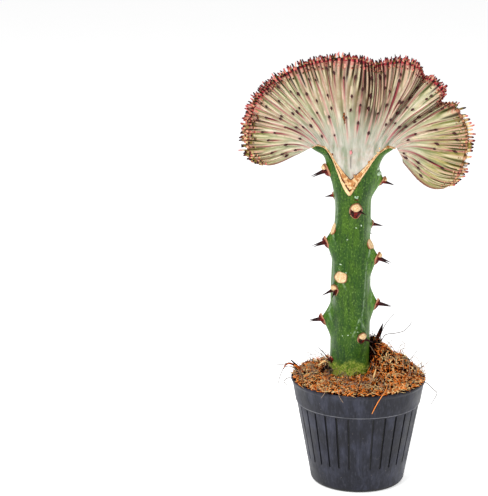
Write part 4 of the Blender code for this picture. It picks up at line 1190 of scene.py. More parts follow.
# thorns of the front face as they are seen (x, z), round from the lower left
THORNS_SEEN = [
    (-56, 259), (-69, 264), (-58, 270), (-72, 274), (-47, 275), (-67, 279), (-77, 280), (-59, 284),
    (-80, 289), (-74, 291), (-62, 291), (-74, 298), (-45, 283), (-53, 293), (-64, 302), (-31, 276),
    (-48, 297), (-65, 312), (-38, 289), (-55, 309), (-49, 307), (-35, 293), (-42, 307), (-35, 302),
    (-40, 318), (-21, 277), (-26, 290), (-35, 318), (-24, 297), (-26, 307), (-27, 327), (-22, 324),
    (-13, 290), (-14, 320), (-10, 296), (-9, 306), (-7, 321), (-4, 286), (-2, 299), (-2, 311),
    (4, 296), (6, 305), (6, 318), (4, 278), (11, 292), (13, 318), (18, 311), (19, 320), (18, 299),
    (21, 309), (27, 318), (29, 323), (17, 285), (27, 303), (26, 293), (40, 311), (36, 303), (37, 296),
    (48, 304), (51, 307), (27, 283), (39, 286), (52, 293), (61, 295), (39, 278), (55, 281), (34, 273),
    (69, 279), (71, 274), (56, 271), (54, 267), (70, 265), (61, 252), (31, 262), (42, 255), (44, 244)]


def rib_sway(rib, s):
    """How far the ribs bend sideways on their way out, in ribs, as in the solid."""
    return 0.12 * np.sin(1.9 * rib + 5 * s + 0.5) + 0.05 * np.sin(4.3 * rib - 7 * s + 2.0)


def fold_share(rib):
    """Up to 1 in the middle of a fold of the fan, and 0 away from the folds."""
    shares = (depth * np.exp(-((rib - place) / width) ** 2) for place, width, depth in FOLDS)
    return np.minimum(sum(shares), 1.0)


rib_dice = np.random.default_rng(5)
line_numbers = np.arange(LINES)
line_starts = np.where(line_numbers % 4 == 0, 0.22, 0.36) + rib_dice.uniform(-0.05, 0.06, LINES)
half_starts = HALF_START - 0.2 * fold_share(line_numbers / 2) + rib_dice.uniform(-0.06, 0.06, LINES)
line_starts = np.where(line_numbers % 2 == 1, half_starts, line_starts)
# a fine grid, in which the rib and the place s of a thorn are looked up
columns, rows = np.linspace(0, MAIN_RIBS, GRID_COLUMNS), np.linspace(0.2, FAN_END, GRID_ROWS)
grid_ribs, grid_s = np.meshgrid(columns, rows)
grid_places = fan_middle(grid_ribs, grid_s)[..., [0, 2]]
thorns_on = [[[] for _ in range(LINES)] for _ in range(2)]
for seen in THORNS_SEEN:
    nearest = np.linalg.norm(grid_places - np.array(seen), axis=-1).argmin()
    rib, s = grid_ribs.flat[nearest], grid_s.flat[nearest]
    line = int(np.clip(round(2 * float(rib + rib_sway(rib, s))), 1, LINES - 2))
    thorns_on[0][line].append(float(s))
for line in range(1, LINES - 1):
    steps = rib_dice.uniform(0.11, 0.17, 4)
    begin = rib_dice.uniform(0.42, 0.56) if line % 2 == 0 else rib_dice.uniform(0.72, 1.3)
    thorns_on[1][line] = [s for s in begin + np.cumsum(steps) - steps[0] if s < 0.92]
    if line % 2 == 0 and not thorns_on[0][line]:
        thorns_on[0][line] = [float(s) for s in begin + 0.08 + np.array([0.0, 0.15]) if s < 0.9]
most = max(len(places) for face in thorns_on for places in face)
thorn_lines = np.array([[sorted(places) + [FAR] * (most - len(places)) for places in face]
                        for face in thorns_on])
line_starts = np.minimum(line_starts, thorn_lines[0, :, 0] - 0.1)
line_strengths = rib_dice.uniform(0.6, 1.0, LINES)  # how dark the line along a keel is
gap_shade_strengths = rib_dice.uniform(0.5, 1.0, 4 * MAIN_RIBS + 8)  # and how dark a gap near the margin is
for face, name in enumerate(("front", "back")):
    print("thorns on the", name, int((thorn_lines[face] < FAR).sum()))

# %% Height of the ribs and marks for their colour
KEEL_HEIGHTS = (2.1, 1.8, 1.5)  # main, half and quarter ribs
KEEL_WIDTHS = (0.95, 0.9, 1.02)
SOFT_WIDTH = 1.7  # half width of a main rib near the neck
INK_WIDTHS = (0.56, 0.24)  # half width of the dark line after a thorn, and what it gains
# painted highlight: a light strip just below each keel's dark line
HIGHLIGHT_OFF, HIGHLIGHT_WIDTH = 1.15, 0.45  # the bright edge just below that line
# olive is partly painted shade and pale partly painted light, which round each band; the rest is the flesh's
# own colour
OLIVE_AT, PALE_AT = 0.3, 0.78  # where a band is olive and pale, from the rib above it to the next
BAND_SPREAD = 0.19
# where the painted highlight and the painted olive and pale shading change sides
SIDES_CHANGE = (13.2, 15.2)  # left of these ribs the bright edge is on the other flank


def keel_at(line, off, s, face, wide, height):
    """Rise of a rib, its nearness, that of a thorn, how grown it is, its dark line; line counts halves."""
    line = np.clip(line, 0, LINES - 1)
    grown = ramp(line_starts[line] - 0.04, line_starts[line] + 0.2, s)
    thorns = thorn_lines[face][line]
    before = np.where(thorns <= s[..., None], thorns, -1.0).max(axis=-1)
    before = np.maximum(before, line_starts[line] - 0.02)
    after = np.where(thorns > s[..., None], thorns, FAR).min(axis=-1)
    climb = np.clip((s - before) / (after - before), 0, 1)
    saw = np.where(after < FAR, 0.5 + 0.5 * climb ** 1.2, 0.72)
    near = np.exp(-(off / wide) ** 2)
    knot = np.exp(-((s[..., None] - thorns) * RIB_LENGTH / 0.9) ** 2).max(axis=-1) * np.exp(-(off / 0.8) ** 2)
    # the line darkens towards each thorn: partly its own colour, partly painted shade at the thorn's foot
    below_thorn = np.where(after < FAR, 0.4 + 0.6 * ramp(0.25, 0.85, climb), 0.75)
    ink_width = INK_WIDTHS[0] + INK_WIDTHS[1] * climb
    ink = np.exp(-(off / ink_width) ** 2) * grown * below_thorn * line_strengths[line]
    return height * saw * near * grown, near * grown, knot, grown, ink


def relief_at(rib, s, side):
    """Rise of the flesh over the smooth fan in mm, and the marks for its colours."""
    rib, s = np.broadcast_arrays(np.asarray(rib, float), np.asarray(s, float))
    face = 0 if side > 0 else 1
    inner = np.clip(rib, 0.06, MAIN_RIBS - 0.06)
    pitch = np.linalg.norm(fan_middle(inner + 0.05, s) - fan_middle(inner - 0.05, s), axis=-1) / 0.1
    place = rib - BACK_SHIFT * face + rib_sway(rib, s)
    main = np.round(place).astype(int)
    half = np.floor(place).astype(int)
    quarter = (np.floor(place * 2) + 0.5) / 2
    wide = SOFT_WIDTH + (KEEL_WIDTHS[0] - SOFT_WIDTH) * ramp(0.28, 0.6, s)
    off = (place - main) * pitch
    rise, keel, knots, main_grown, ink = keel_at(2 * main, off, s, face, wide, KEEL_HEIGHTS[0])
    half_off = (place - half - 0.5) * pitch
    second = keel_at(2 * half + 1, half_off, s, face, KEEL_WIDTHS[1], KEEL_HEIGHTS[1])
    rise_2, keel_2, knots_2, half_grown, ink_2 = second
    quarter_off = (place - quarter) * pitch
    fold = fold_share(rib)
    start = QUARTER_START - 0.2 * fold
    quarter_grown = ramp(start - 0.03, start + 0.12, s + 0.03 * np.sin(7 * rib))
    keel_3 = np.exp(-(quarter_off / KEEL_WIDTHS[2]) ** 2) * quarter_grown
    swell = np.abs(np.sin(math.pi * place)) * (1 - half_grown)
    swell = (swell + np.abs(np.sin(2 * math.pi * place)) * half_grown) ** 0.8 * (1 - quarter_grown)
    knots = np.maximum(knots, knots_2)
    keels = np.maximum(np.maximum(keel, keel_2), keel_3)
    rise = np.maximum(np.maximum(rise, rise_2), KEEL_HEIGHTS[2] * keel_3) + 0.9 * swell * ramp(0.2, 0.5, s)
    rise = rise - 0.5 * ramp(0.3, 0.7, s) - 0.8 * quarter_grown + 0.5 * knots
    end_fade = ramp(0.0, 0.6, np.minimum(rib, MAIN_RIBS - rib))
    right = ramp(*SIDES_CHANGE, rib)
    # where in its band a point lies, 0 at the rib above and 1 at the next; bands of whole and of half ribs
    below = {steps: np.abs(1 - right - steps * place % 1) for steps in (1, 2)}
    # painted highlight along each main and half keel
    highlight_at = (2 * right - 1) * HIGHLIGHT_OFF
    edge = np.maximum(np.exp(-((off - highlight_at) / HIGHLIGHT_WIDTH) ** 2) * main_grown,
                      np.exp(-((half_off - highlight_at) / HIGHLIGHT_WIDTH) ** 2) * half_grown)
    # olive and pale marks: partly the flesh's colour, partly painted shade and light across each band
    olive, pale = (sum(np.exp(-((below[steps] - middle) / BAND_SPREAD) ** 2) * weight
                       for steps, weight in ((1, 1 - half_grown), (2, half_grown)))
                   for middle in (OLIVE_AT, PALE_AT))
    # painted shade: the gaps between the ridges near the margin
    gaps = (1 - keels) * quarter_grown * gap_shade_strengths[np.floor(4 * place).astype(int) + 4]
    values = {"keel": keel, "fine": np.maximum(keel_2, keel_3), "ink": np.maximum(ink, ink_2),
              "olive": olive, "pale": pale, "edge": edge * (1 - quarter_grown), "gap": gaps, "thorn": knots}
    return rise * end_fade, {name: value * end_fade for name, value in values.items()}


def fan_point(rib, s, side):
    """Points on the front (+1) or the back (-1) face, mm."""
    _, front = fan_axes(rib, np.maximum(s, 0.03))
    rise, _ = relief_at(rib, s, side)
    return fan_middle(rib, s) + front * side * (half_depth(rib, s) + rise)[..., None]


SWAY_ROUNDS = 8  # enough to undo the sway to far less than a hair's width


def place_of_line(number, s, side):
    """Rib number of a point on a rib, the rib given by its number in whole ribs, the sway undone."""
    middle = number + (0.0 if side > 0 else BACK_SHIFT)
    rib = middle
    for _ in range(SWAY_ROUNDS):
        rib = middle - rib_sway(rib, s)
    return rib


# %% Each rib line of the flesh begins at the seam of the graft
COLUMNS_PER_RIB = 24
FAN_ROWS = 73
SEAM_BELOW, SEARCH_ROWS = 0.6, 601  # the seam is looked for below this place s, in so many rows
LOBE_TUCKS = ((8.9, 6.2), (5.8, 10.4))  # how far the cut runs on past each arm, out and down
ribs = np.linspace(0, MAIN_RIBS, MAIN_RIBS * COLUMNS_PER_RIB + 1)
left_end = SEAM[0] - LOBE_TUCKS[0]
right_end = SEAM[-1] + [LOBE_TUCKS[1][0], -LOBE_TUCKS[1][1]]
wedge = np.array([left_end, *SEAM, right_end])
search = np.linspace(0.0, SEAM_BELOW, SEARCH_ROWS)
probe = fan_middle(ribs[None], search[:, None])
in_wedge = (probe[..., 2] < np.interp(probe[..., 0], wedge[:, 0], wedge[:, 1]))
in_wedge &= (probe[..., 0] > wedge[0, 0]) & (probe[..., 0] < wedge[-1, 0])
last_inside = len(search) - 1 - in_wedge[::-1].argmax(axis=0)
flesh_start = search[last_inside]
rows = np.linspace(0, 1, FAN_ROWS)[:, None]
fan_s = flesh_start[None] + rows * (FAN_END - flesh_start)[None]
print("the flesh begins at s", round(float(flesh_start.min()), 2), "to", round(float(flesh_start.max()), 2))

# %% Front and back faces joined into one skin
STREAK = (-9.0, 250.0, 262.0)  # a grey bruise at the middle of the neck (x, z from, z to)
STREAK_WIDTH = 0.6
BACK_FLOW = 40  # added to the back's rib numbers, so that its streaks differ
rings, marks = [], {}
for side in (1, -1):
    order = slice(None) if side > 0 else slice(None, None, -1)
    rib = np.broadcast_to(ribs[None], fan_s.shape)
    rise, values = relief_at(rib, fan_s, side)
    _, front = fan_axes(rib, np.maximum(fan_s, 0.03))
    points = fan_middle(rib, fan_s) + front * side * (half_depth(rib, fan_s) + rise)[..., None]
    points += front * (0.3 * uneven(points, 11.0, 31) * ramp(0.2, 0.6, fan_s))[..., None]
    from_end = np.minimum(rib, MAIN_RIBS - rib)
    x, z = points[..., 0], points[..., 2]
    streak = np.exp(-((x - STREAK[0]) / STREAK_WIDTH) ** 2) * ramp(STREAK[1], STREAK[1] + 3, z)
    values["streak"] = streak * ramp(STREAK[2], STREAK[2] - 2, z) * (side > 0)
    values["out"] = fan_s
    values["flow"] = rib + (0 if side > 0 else BACK_FLOW)
    values["crease"] = fold_share(rib) * ramp(0.42, 0.64, fan_s)
    values["middle"] = ramp(8.0, 11.0, rib) * ramp(20.0, 16.0, rib) * ramp(0.5, 0.7, fan_s)
    lime = ramp(21.0, 24.0, rib) * ramp(0.6, 0.8, fan_s)
    values["lime"] = lime + 0.7 * ramp(5.0, 1.5, rib) * ramp(0.75, 0.9, fan_s)
    values["hem"] = ramp(0.4, 0.06, from_end) * ramp(0.35, 0.5, fan_s)
    rings.append(points[:, order])
    for name, value in values.items():
        marks.setdefault(name, []).append(value[:, order])
flesh_points = np.concatenate(rings, axis=1)
flesh_marks = {name: np.concatenate(value, axis=1).reshape(-1) for name, value in marks.items()}
ring_size = flesh_points.shape[1]
flesh_faces = grid_faces(FAN_ROWS, ring_size, True)
for row in (0, FAN_ROWS - 1):
    first = row * ring_size
    for i in range(len(ribs) - 1):
        strip = [first + i, first + i + 1, first + ring_size - 2 - i, first + ring_size - 1 - i]
        flesh_faces.append(strip if row else strip[::-1])
print("flesh grid", flesh_points.shape)

# %% [markdown]
# The flesh is white and grey-green at the neck, with a bloom of wax. Further out each rib is
# drawn as a dark line, pink near the neck, that widens and darkens up to each thorn, the
# darkening partly painted shade at the thorn's foot. Just below it is a painted highlight, then
# the band turns olive, and then pale up to the next rib, partly the flesh's own colour and partly
# painted shade and light that round each band. Near the margin the ridges are cream, partly a
# painted highlight, the gaps between them nearly black with painted shade and the last few
# millimetres crimson. The folds are shaded, and both ends of the fan are yellow-green. The
# streaks follow the ribs, because their noise reads the rib number and the distance from the
# neck instead of the place in space.

# %% Flesh finish: the neck and the bands
flesh = Finish("crest_skin", 0.45, 0.1)
out = flesh.mark("out")
along_rib = flesh.together("flow", flesh.times(out, 0.7), 0.0)
upright = flesh.upright_grain(0.22)
opened = flesh.span(out, 0.28, 0.5)  # at the neck the ribs lie too close to carry the streaks
wax = flesh.blend(opened, flesh.noise(5.0, 3.0, upright), flesh.noise(380.0, 4.0, along_rib))
wisps = flesh.blend(opened, flesh.noise(3.0, 3.0, upright), flesh.noise(150.0, 3.0, along_rib))
mottle = flesh.noise(4.5, 4.0)
pale = flesh.between(wax, 0.35, 0.65, screen(142, 150, 126), screen(202, 196, 184))
pale = flesh.mix(flesh.span(wisps, 0.52, 0.7, 0.0, 0.5), pale, screen(216, 208, 198))
pale = flesh.mix(flesh.span(mottle, 0.48, 0.72, 0.0, 0.45), pale, screen(184, 156, 142))
cream = flesh.between(mottle, 0.35, 0.65, screen(188, 188, 150), screen(160, 160, 118))
olive = flesh.between(wisps, 0.35, 0.65, screen(64, 82, 26), screen(116, 130, 70))
bright = flesh.between(wisps, 0.35, 0.65, screen(212, 200, 164), screen(244, 230, 210))
# olive and pale bands: partly the flesh's own colour, partly painted shade and light
olive_share = flesh.times("olive", flesh.span(wax, 0.3, 0.48, 0.6, 1.0))
pale_share = flesh.times("pale", flesh.span(wax, 0.36, 0.56, 0.45, 1.0))
body = flesh.mix(olive_share, cream, olive)
body = flesh.mix(pale_share, body, bright)
rosy = flesh.times("middle", flesh.span(mottle, 0.3, 0.6, 0.3, 0.62))
body = flesh.mix(rosy, body, screen(150, 116, 94))
turn = flesh.span(flesh.plus(out, flesh.span(wax, 0.3, 0.7, -0.08, 0.08)), 0.36, 0.7)
flesh.colour(flesh.mix(turn, pale, body))
yellow = flesh.between(wisps, 0.4, 0.6, screen(104, 114, 44), screen(188, 168, 100))
flesh.coat(flesh.times("lime", 0.68), yellow)

# %% Keels, painted highlights and dark lines over them
# cream ridge tops: partly their own colour, partly painted highlight
tops = flesh.between(wax, 0.4, 0.62, screen(222, 214, 174), screen(216, 172, 152))
flesh.coat_where("fine", 0.3, 0.9, tops, 0.75)
pink = flesh.between(out, 0.4, 0.85, screen(214, 176, 164), screen(212, 146, 140))
keel_share = flesh.times(flesh.span("keel", 0.5, 0.95), flesh.span(wisps, 0.36, 0.6, 0.3, 0.9))
flesh.coat(flesh.times(keel_share, flesh.span(out, 0.25, 0.45)), pink)
# painted highlight just below each keel
highlight_share = flesh.times("edge", flesh.span(out, 0.34, 0.5, 0.0, 0.85))
highlight_share = flesh.times(highlight_share, flesh.span(mottle, 0.36, 0.6, 0.3, 1.0))
flesh.coat(highlight_share, flesh.between(wax, 0.4, 0.6, screen(246, 222, 196), screen(222, 168, 158)))
maroon = flesh.between(wisps, 0.4, 0.6, screen(40, 4, 12), screen(138, 52, 60))
maroon = flesh.mix(flesh.span(out, 0.34, 0.66, 0.7, 0.0), maroon, screen(198, 122, 124))
ink_share = flesh.times(flesh.span("ink", 0.12, 0.8), flesh.span(wax, 0.34, 0.5, 0.6, 1.0))
flesh.coat(flesh.times(ink_share, flesh.span(out, 0.26, 0.5, 0.4, 1.0)), maroon)

# %% Crimson blush, painted shade in the gaps and the folds, and the thorns' feet
blush_edge = flesh.span(flesh.noise(1.6, 2.0), 0.3, 0.7, -0.03, 0.03)
blush = flesh.span(flesh.plus(out, blush_edge), 0.905, 0.965)
blush = flesh.times(blush, flesh.span("lime", 0.2, 0.9, 0.6, 0.15))
flesh.coat(blush, flesh.between(wisps, 0.42, 0.62, screen(152, 42, 52), screen(214, 118, 112)))
# painted shade in the gaps: dark brown to near black, dark olive at the yellow-green ends
gap_shade = flesh.between(out, 0.74, 0.84, screen(70, 40, 22), screen(28, 3, 4))
gap_shade = flesh.mix(flesh.times("lime", 0.7), gap_shade, screen(72, 66, 16))
flesh.coat_where("gap", 0.3, 0.7, gap_shade, 0.95)
shade = flesh.times("crease", flesh.span("fine", 0.15, 0.6, 0.95, 0.1))
shade = flesh.times(shade, flesh.span("keel", 0.3, 0.8, 1.0, 0.2))
flesh.coat(shade, screen(58, 16, 14))
flesh.coat(flesh.times("hem", 0.85), screen(128, 64, 62))
flesh.coat(flesh.times("streak", 0.75), screen(92, 84, 80))
flesh.coat_where("thorn", 0.35, 0.8, screen(70, 18, 22))
flesh.let_light_in((0.9, 0.6, 0.3), 2.0)
flesh.patchy(9.0, 0.4, 0.55)
ground_bump = flesh.relief(wisps, 0.4)
flesh.relief(flesh.noise(1.2, 3.0), 0.12, ground_bump)
flesh_shape = (flesh_points.reshape(-1, 3), flesh_faces, flesh_marks)
add_piece("crest_flesh", flesh_shape, flesh.material, "crest")

# %% [markdown]
# ## Thorns on the ribs
#
# Each step of a keel ends in a small near-black spur that lies along the rib: it starts thin
# on the neck side, is thickest where it leaves the flesh and ends in a point that leans
# outward. They are what makes the ribs look dotted from a step away. Beside them, a few old
# scars have dried to brown beads, and one bead near the neck is still pink.

# %% Rib thorns, front and back
THORN_SHAPE = np.array([  # along the rib, off the flesh, radius, in thorn lengths
    (-0.9, -0.10, 0.05), (-0.6, 0.0, 0.16), (-0.25, 0.10, 0.32), (0.12, 0.3, 0.42), (0.46, 0.6, 0.24),
    (0.8, 0.9, 0.03)])
THORN_LENGTH = 2.4
THORN_SIDES = 7
roots, heads, fronts, sizes = [], [], [], []
dice = np.random.default_rng(8)
for face, side in ((0, 1), (1, -1)):
    for line in range(1, LINES - 1):
        for s in thorn_lines[face, line]:
            rib = place_of_line(line / 2, s, side)
            if s >= FAR or rib > MAIN_RIBS or s < np.interp(rib, ribs, flesh_start) + 0.03:
                continue
            outward, front = fan_axes(rib, s)
            roots.append(fan_point(np.array(rib), np.array(s), side))
            heads.append(unit(outward + dice.normal(size=3) * 0.12))
            fronts.append(front * side)
            sizes.append(THORN_LENGTH * dice.uniform(0.75, 1.2))
roots, heads, fronts, sizes = (np.array(column) for column in (roots, heads, fronts, sizes))
reach, lift, width = (THORN_SHAPE[:, i][None, :, None] * sizes[:, None, None] for i in range(3))
paths = roots[:, None] + heads[:, None] * reach + fronts[:, None] * lift
points, faces = tubes(paths, width[..., 0], THORN_SIDES)
thorn_skin = Finish("rib_thorn", 0.4)
thorn_skin.colour(screen(26, 8, 12))
thorn_skin.coat(thorn_skin.noise(1.5, 3.0), screen(84, 24, 28))
add_piece("rib_thorns", (points, faces, {}), thorn_skin.material, "crest")
print(len(roots), "thorns")

# %% Beads of old corky scar along the middle keel, and a pink one below
BEADS = ((-14.1, 292.6, 0.8), (-14.3, 290.3, 1), (-13.9, 288.2, 0.95), (-13.7, 286.2, 0.7),
         (-22.8, 262.6, 0.7), (-9, 264.1, 1.25))  # x, z, half width; the last one is pink
bead_shapes = []
for index, (x, z, size) in enumerate(BEADS):
    nearest = np.linalg.norm(grid_places - np.array([x, z]), axis=-1).argmin()
    rib, s = grid_ribs.flat[nearest], grid_s.flat[nearest]
    outward, front = fan_axes(rib, s)
    frame_here = (fan_point(rib, s, 1), np.cross(outward, front), outward, front)
    shape = dome(frame_here, size, size * 1.5, size * 0.8, 170 + index, ragged=0.22)
    shape[2]["pink"] = np.full(len(shape[0]), float(index == len(BEADS) - 1))
    bead_shapes.append(shape)
bead_skin = Finish("scar_bead", 0.4)
bead_skin.colour(screen(74, 20, 6))
bead_skin.coat_where(bead_skin.noise(0.8, 3.0), 0.46, 0.66, screen(206, 122, 56))
bead_skin.coat("pink", screen(220, 138, 140))
bead_skin.coat_where("rim", 0.7, 1.0, screen(90, 26, 16))
add_piece("scar_beads", joined(bead_shapes), bead_skin.material, "crest")

# %% [markdown]
# ## The growing margin
#
# The edge of the fan is where it grows: every ridge runs over it and ends in young finger-like
# teeth in crimson, pink and near-black. A toothed strip would read as a saw. The real edge is
# a thick brush, so rows of fingers stand on the ends of the ridges, from one face over the top
# to the other. The ridges and the gaps go on over the top of the band that carries them, the
# gaps near black with painted shade.

# %% The band under the teeth
BAND_POINTS = 11
BAND_RISE = 2.4
NOTCHES = ((18.0, 0.85), (21.1, 0.85))  # rib, and the share by which the fingers are shorter
NOTCH_WIDTH = 0.6


def end_share(rib):
    """1 along the margin and 0 at its two ends and in the notches."""
    shorter = sum(cut * np.exp(-((rib - place) / NOTCH_WIDTH) ** 2) for place, cut in NOTCHES)
    return (1 - shorter) * ramp(-0.4, 0.5, np.minimum(rib, MAIN_RIBS - rib))


foot = fan_middle(ribs, FAN_END)
outward, front = fan_axes(ribs, np.full_like(ribs, FAN_END))
ridge = 0.5 + 0.5 * np.cos(8 * math.pi * (ribs + rib_sway(ribs, FAN_END)))
half = half_depth(ribs, FAN_END) + 1.5 * ridge - 1.2
turns = np.linspace(0, math.pi, BAND_POINTS)[None]
lift = BAND_RISE * (0.75 + 0.35 * ridge)[:, None] * np.sin(turns) ** 0.7 - 0.3
band = foot[:, None] + front[:, None] * (half[:, None] * np.cos(turns))[..., None]
band = band + outward[:, None] * lift[..., None]
band_tint = 0.56 + 0.22 * uneven(band.reshape(-1, 3), 2.2, 77)
band_lime = np.repeat(0.7 * ramp(20.5, 23.5, ribs) + 0.5 * ramp(6.0, 2.0, ribs), BAND_POINTS)
band_marks = {"ridge": np.repeat(ridge, BAND_POINTS), "tint": band_tint, "lime": band_lime,
              "tip": np.full(band.size // 3, 0.5)}
band_shape = (band.reshape(-1, 3), capped_grid(len(ribs), BAND_POINTS), band_marks)

# %% Fingers in rows over the margin
FINGER_PITCH = 2.6
FINGER_SIDES = 6
# along a finger and its thickness there, in shares of its length and of its root's radius
FINGER_SHAPE = np.array([(-0.15, 1.0), (0.12, 1.0), (0.4, 0.94), (0.68, 0.86), (0.88, 0.66), (1.0, 0.26)])
RIDGES = 4 * MAIN_RIBS
EDGE_STEPS = 2801
TOP = 90  # degrees
# angle from the front over the top in degrees, place s, mean length; no pitch has them on the ridges
FINGER_ROWS = ((10, 0.935, 1.7, None), (24, 0.96, 2.3, None), (46, FAN_END, 2.8, None),
               (74, FAN_END, 3.4, FINGER_PITCH), (TOP, FAN_END, 4.6, None),
               (106, FAN_END, 3.4, FINGER_PITCH), (134, FAN_END, 2.8, None),
               (156, 0.96, 2.3, None), (170, 0.935, 1.7, None))
SINGLE_FROM = 22.2  # beyond this rib each ridge ends in one stout finger
STUB = 0.3  # length of a finger that hardly grew
fine_ribs = np.linspace(0, MAIN_RIBS, EDGE_STEPS)
edge = fan_middle(fine_ribs, FAN_END)
edge_length = np.concatenate([[0], np.cumsum(np.linalg.norm(np.diff(edge, axis=0), axis=1))])
print("margin", round(float(edge_length[-1])), "mm long")
dice = np.random.default_rng(13)
finger_rows = []
for degrees, s, mean, pitch in FINGER_ROWS:
    if pitch:
        count = int(edge_length[-1] / pitch)
        place = (np.arange(count) + dice.uniform(-0.42, 0.42, count)) / (count - 1) * edge_length[-1]
        rib = np.interp(place, edge_length, fine_ribs)
    else:
        rib = place_of_line(np.arange(1, RIDGES) / 4, s, 1) + dice.normal(size=RIDGES - 1) * 0.012
        rib = np.clip(rib, 0.05, MAIN_RIBS - 0.05)
    count = len(rib)
    on_band = s == FAN_END
    s = np.full(count, s) - (0.0 if on_band else 1.0) * dice.uniform(-0.01, 0.022, count)
    outward, front = fan_axes(rib, s)
    turn = np.radians(degrees + dice.uniform(-9, 9, count) * (1.6 if pitch else 1.3))
    rise, _ = relief_at(rib, s, 1 if degrees < TOP else -1)
    half = half_depth(rib, s) + (0.2 if on_band else rise)
    up = BAND_RISE * np.sin(turn) ** 0.7 - 0.3 if on_band else np.zeros(count)
    root = fan_middle(rib, s) + front * (half * np.cos(turn))[:, None] + outward * up[:, None]
    heading = unit(front * np.cos(turn)[:, None] * 0.45 + outward * (0.8 + np.sin(turn))[:, None]
                   + dice.normal(size=(count, 3)) * (0.22 if pitch else 0.11))
    length = mean * dice.uniform(0.45, 1.15, count) * (0.25 + 0.75 * end_share(rib))
    single = rib > SINGLE_FROM
    larger = 1 + 0.35 * ramp(6.0, 3.0, rib)
    stout = larger + (0.5 if degrees == TOP else 0.0)
    length *= larger
    length = np.where(single, np.maximum(length, 0.8 * mean) * 1.1, length)
    # some hardly grew: most beside a stout one, a few at the left end, half of those on the faces
    skipped = dice.uniform(0, 1, count)
    if degrees == TOP:
        left_out = ~single
    else:
        left_out = (single & (skipped < 0.85)) | (skipped < 0.25 * ramp(7.0, 4.0, rib))
    if not on_band:
        left_out |= skipped < 0.5
    length = np.where(left_out, STUB, length)
    drawn_out = (dice.uniform(0, 1, count) < (0.18 if pitch else 0.04)) & ~single
    length = length * np.where(drawn_out, 1.25, 1.0)
    slender = stout * np.where(drawn_out, 0.8, 1.0)
    finger_rows.append((root, heading, length, rib, dice.uniform(0, 1, count), slender))
columns = [np.concatenate(column) for column in zip(*finger_rows)]
root, heading, length, finger_rib, finger_tint, slender = columns
along, taper = FINGER_SHAPE.T
curl = unit(np.cross(heading, dice.normal(size=heading.shape))) * (length * 0.2 / slender)[:, None]
paths = root[:, None] + heading[:, None] * (length[:, None] * along)[..., None]
paths = paths + curl[:, None] * (along ** 2)[:, None]
thick = (slender * dice.uniform(0.55, 0.85, len(root)))[:, None] * taper
points, faces = tubes(paths, thick, FINGER_SIDES)
lime_ends = ramp(20.5, 23.5, finger_rib) + ramp(6.0, 2.0, finger_rib)
finger_values = {"tip": along, "tint": finger_tint[:, None], "lime": lime_ends[:, None], "ridge": np.ones(1)}
finger_marks = {name: each_ring(np.broadcast_to(value, thick.shape), FINGER_SIDES)
                for name, value in finger_values.items()}
print(len(root), "fingers")

# %% Crimson, pink and dark fingers
growth = Finish("margin_skin", 0.42, 0.18)
tint, tip, lime = (growth.mark(name) for name in ("tint", "tip", "lime"))
growth.colour(screen(44, 2, 6))
growth.coat_where(tint, 0.24, 0.5, screen(160, 42, 52))
growth.coat_where(tint, 0.62, 0.8, screen(212, 106, 102))
growth.coat_where(tint, 0.88, 1.0, screen(234, 164, 144))
cream_base = growth.between(tint, 0.2, 0.8, screen(126, 116, 44), screen(228, 206, 148))
rosy_patches = growth.span(growth.noise(9.0, 2.0), 0.5, 0.6, 0.0, 0.75)
cream_base = growth.mix(rosy_patches, cream_base, screen(212, 150, 128))
growth.coat_where(tip, 0.5, 0.05, cream_base, 0.65)
growth.coat(growth.times(lime, growth.span(tip, 0.8, 0.3)), cream_base)
dark = growth.times(growth.span(tip, 0.55, 0.82), growth.span(tint, 0.92, 0.5))
growth.coat(dark, screen(46, 8, 14))
# painted shade: the band turns near black where it dips between the ridges
low = growth.times(growth.span("ridge", 0.6, 0.2), growth.span(lime, 0.0, 0.7, 1.0, 0.6))
growth.coat(low, screen(34, 8, 6))
growth.let_light_in((1.0, 0.4, 0.3), 1.5)
growth.relief(growth.noise(0.8, 3.0), 0.12)
finger_shape = joined([band_shape, (points, faces, finger_marks)])
add_piece("margin_fingers", finger_shape, growth.material, "crest_margin")

# %% [markdown]
# ## The callus
#
# Where the two plants were bound together a wedge of cork has grown. It is thick at the point
# of the V and only a lip along the arms. It is lofted from one arm to the other, and its face
# is broken up with lumps of two sizes, as cork breaks along cells and not along a plane. A dark
# furrow runs along it, deepest in colour on the left arm, and a few larger lumps are set on it.

# %% Loft of the callus between the seam and the cut
CALLUS_STATIONS = 190
CALLUS_FACE = 19
CALLUS_PROUD = 1.0
GROOVE_AT = 0.60  # the dark furrow, as a share of the way from the seam to the cut
CALLUS_GAP = 0.05  # the cork all but touches the flesh and the stem
CALLUS_REACH = 31.8  # half its width, from arm to arm
places = np.linspace(0, len(SEAM) - 1, CALLUS_STATIONS)
seam = curve_through(SEAM, places)
cut_line = curve_through(CUT, places)
down = unit(cut_line - seam)
high, low = seam + down * CALLUS_GAP, cut_line - down * CALLUS_GAP
middle = (high + low) / 2
reach = np.minimum(np.abs(middle[:, 0] - STEM_X) / CALLUS_REACH, 1.0)
depth = (NECK_HALF_DEPTH + 0.3) * np.sqrt(np.maximum(1 - reach ** 2, 0.05))
arm_form = blend_rows(STEM_FORM, low[:, 1])  # the callus ends flush with the stem's skin
arm_across = (low[:, 0] - STEM_X - arm_form[:, 2]) / arm_form[:, 0]
low_depth = np.minimum(arm_form[:, 1] * np.sqrt(np.maximum(1 - arm_across ** 2, 0.04)) + 0.3, depth)
share = np.linspace(0, 1, CALLUS_FACE)
line = high[:, None] + (low - high)[:, None] * share[:, None]
proud = CALLUS_PROUD * np.sin(math.pi * share) ** 0.6 * (1 - 0.9 * np.exp(-((share - GROOVE_AT) / 0.08) ** 2))
faces_of_callus = []
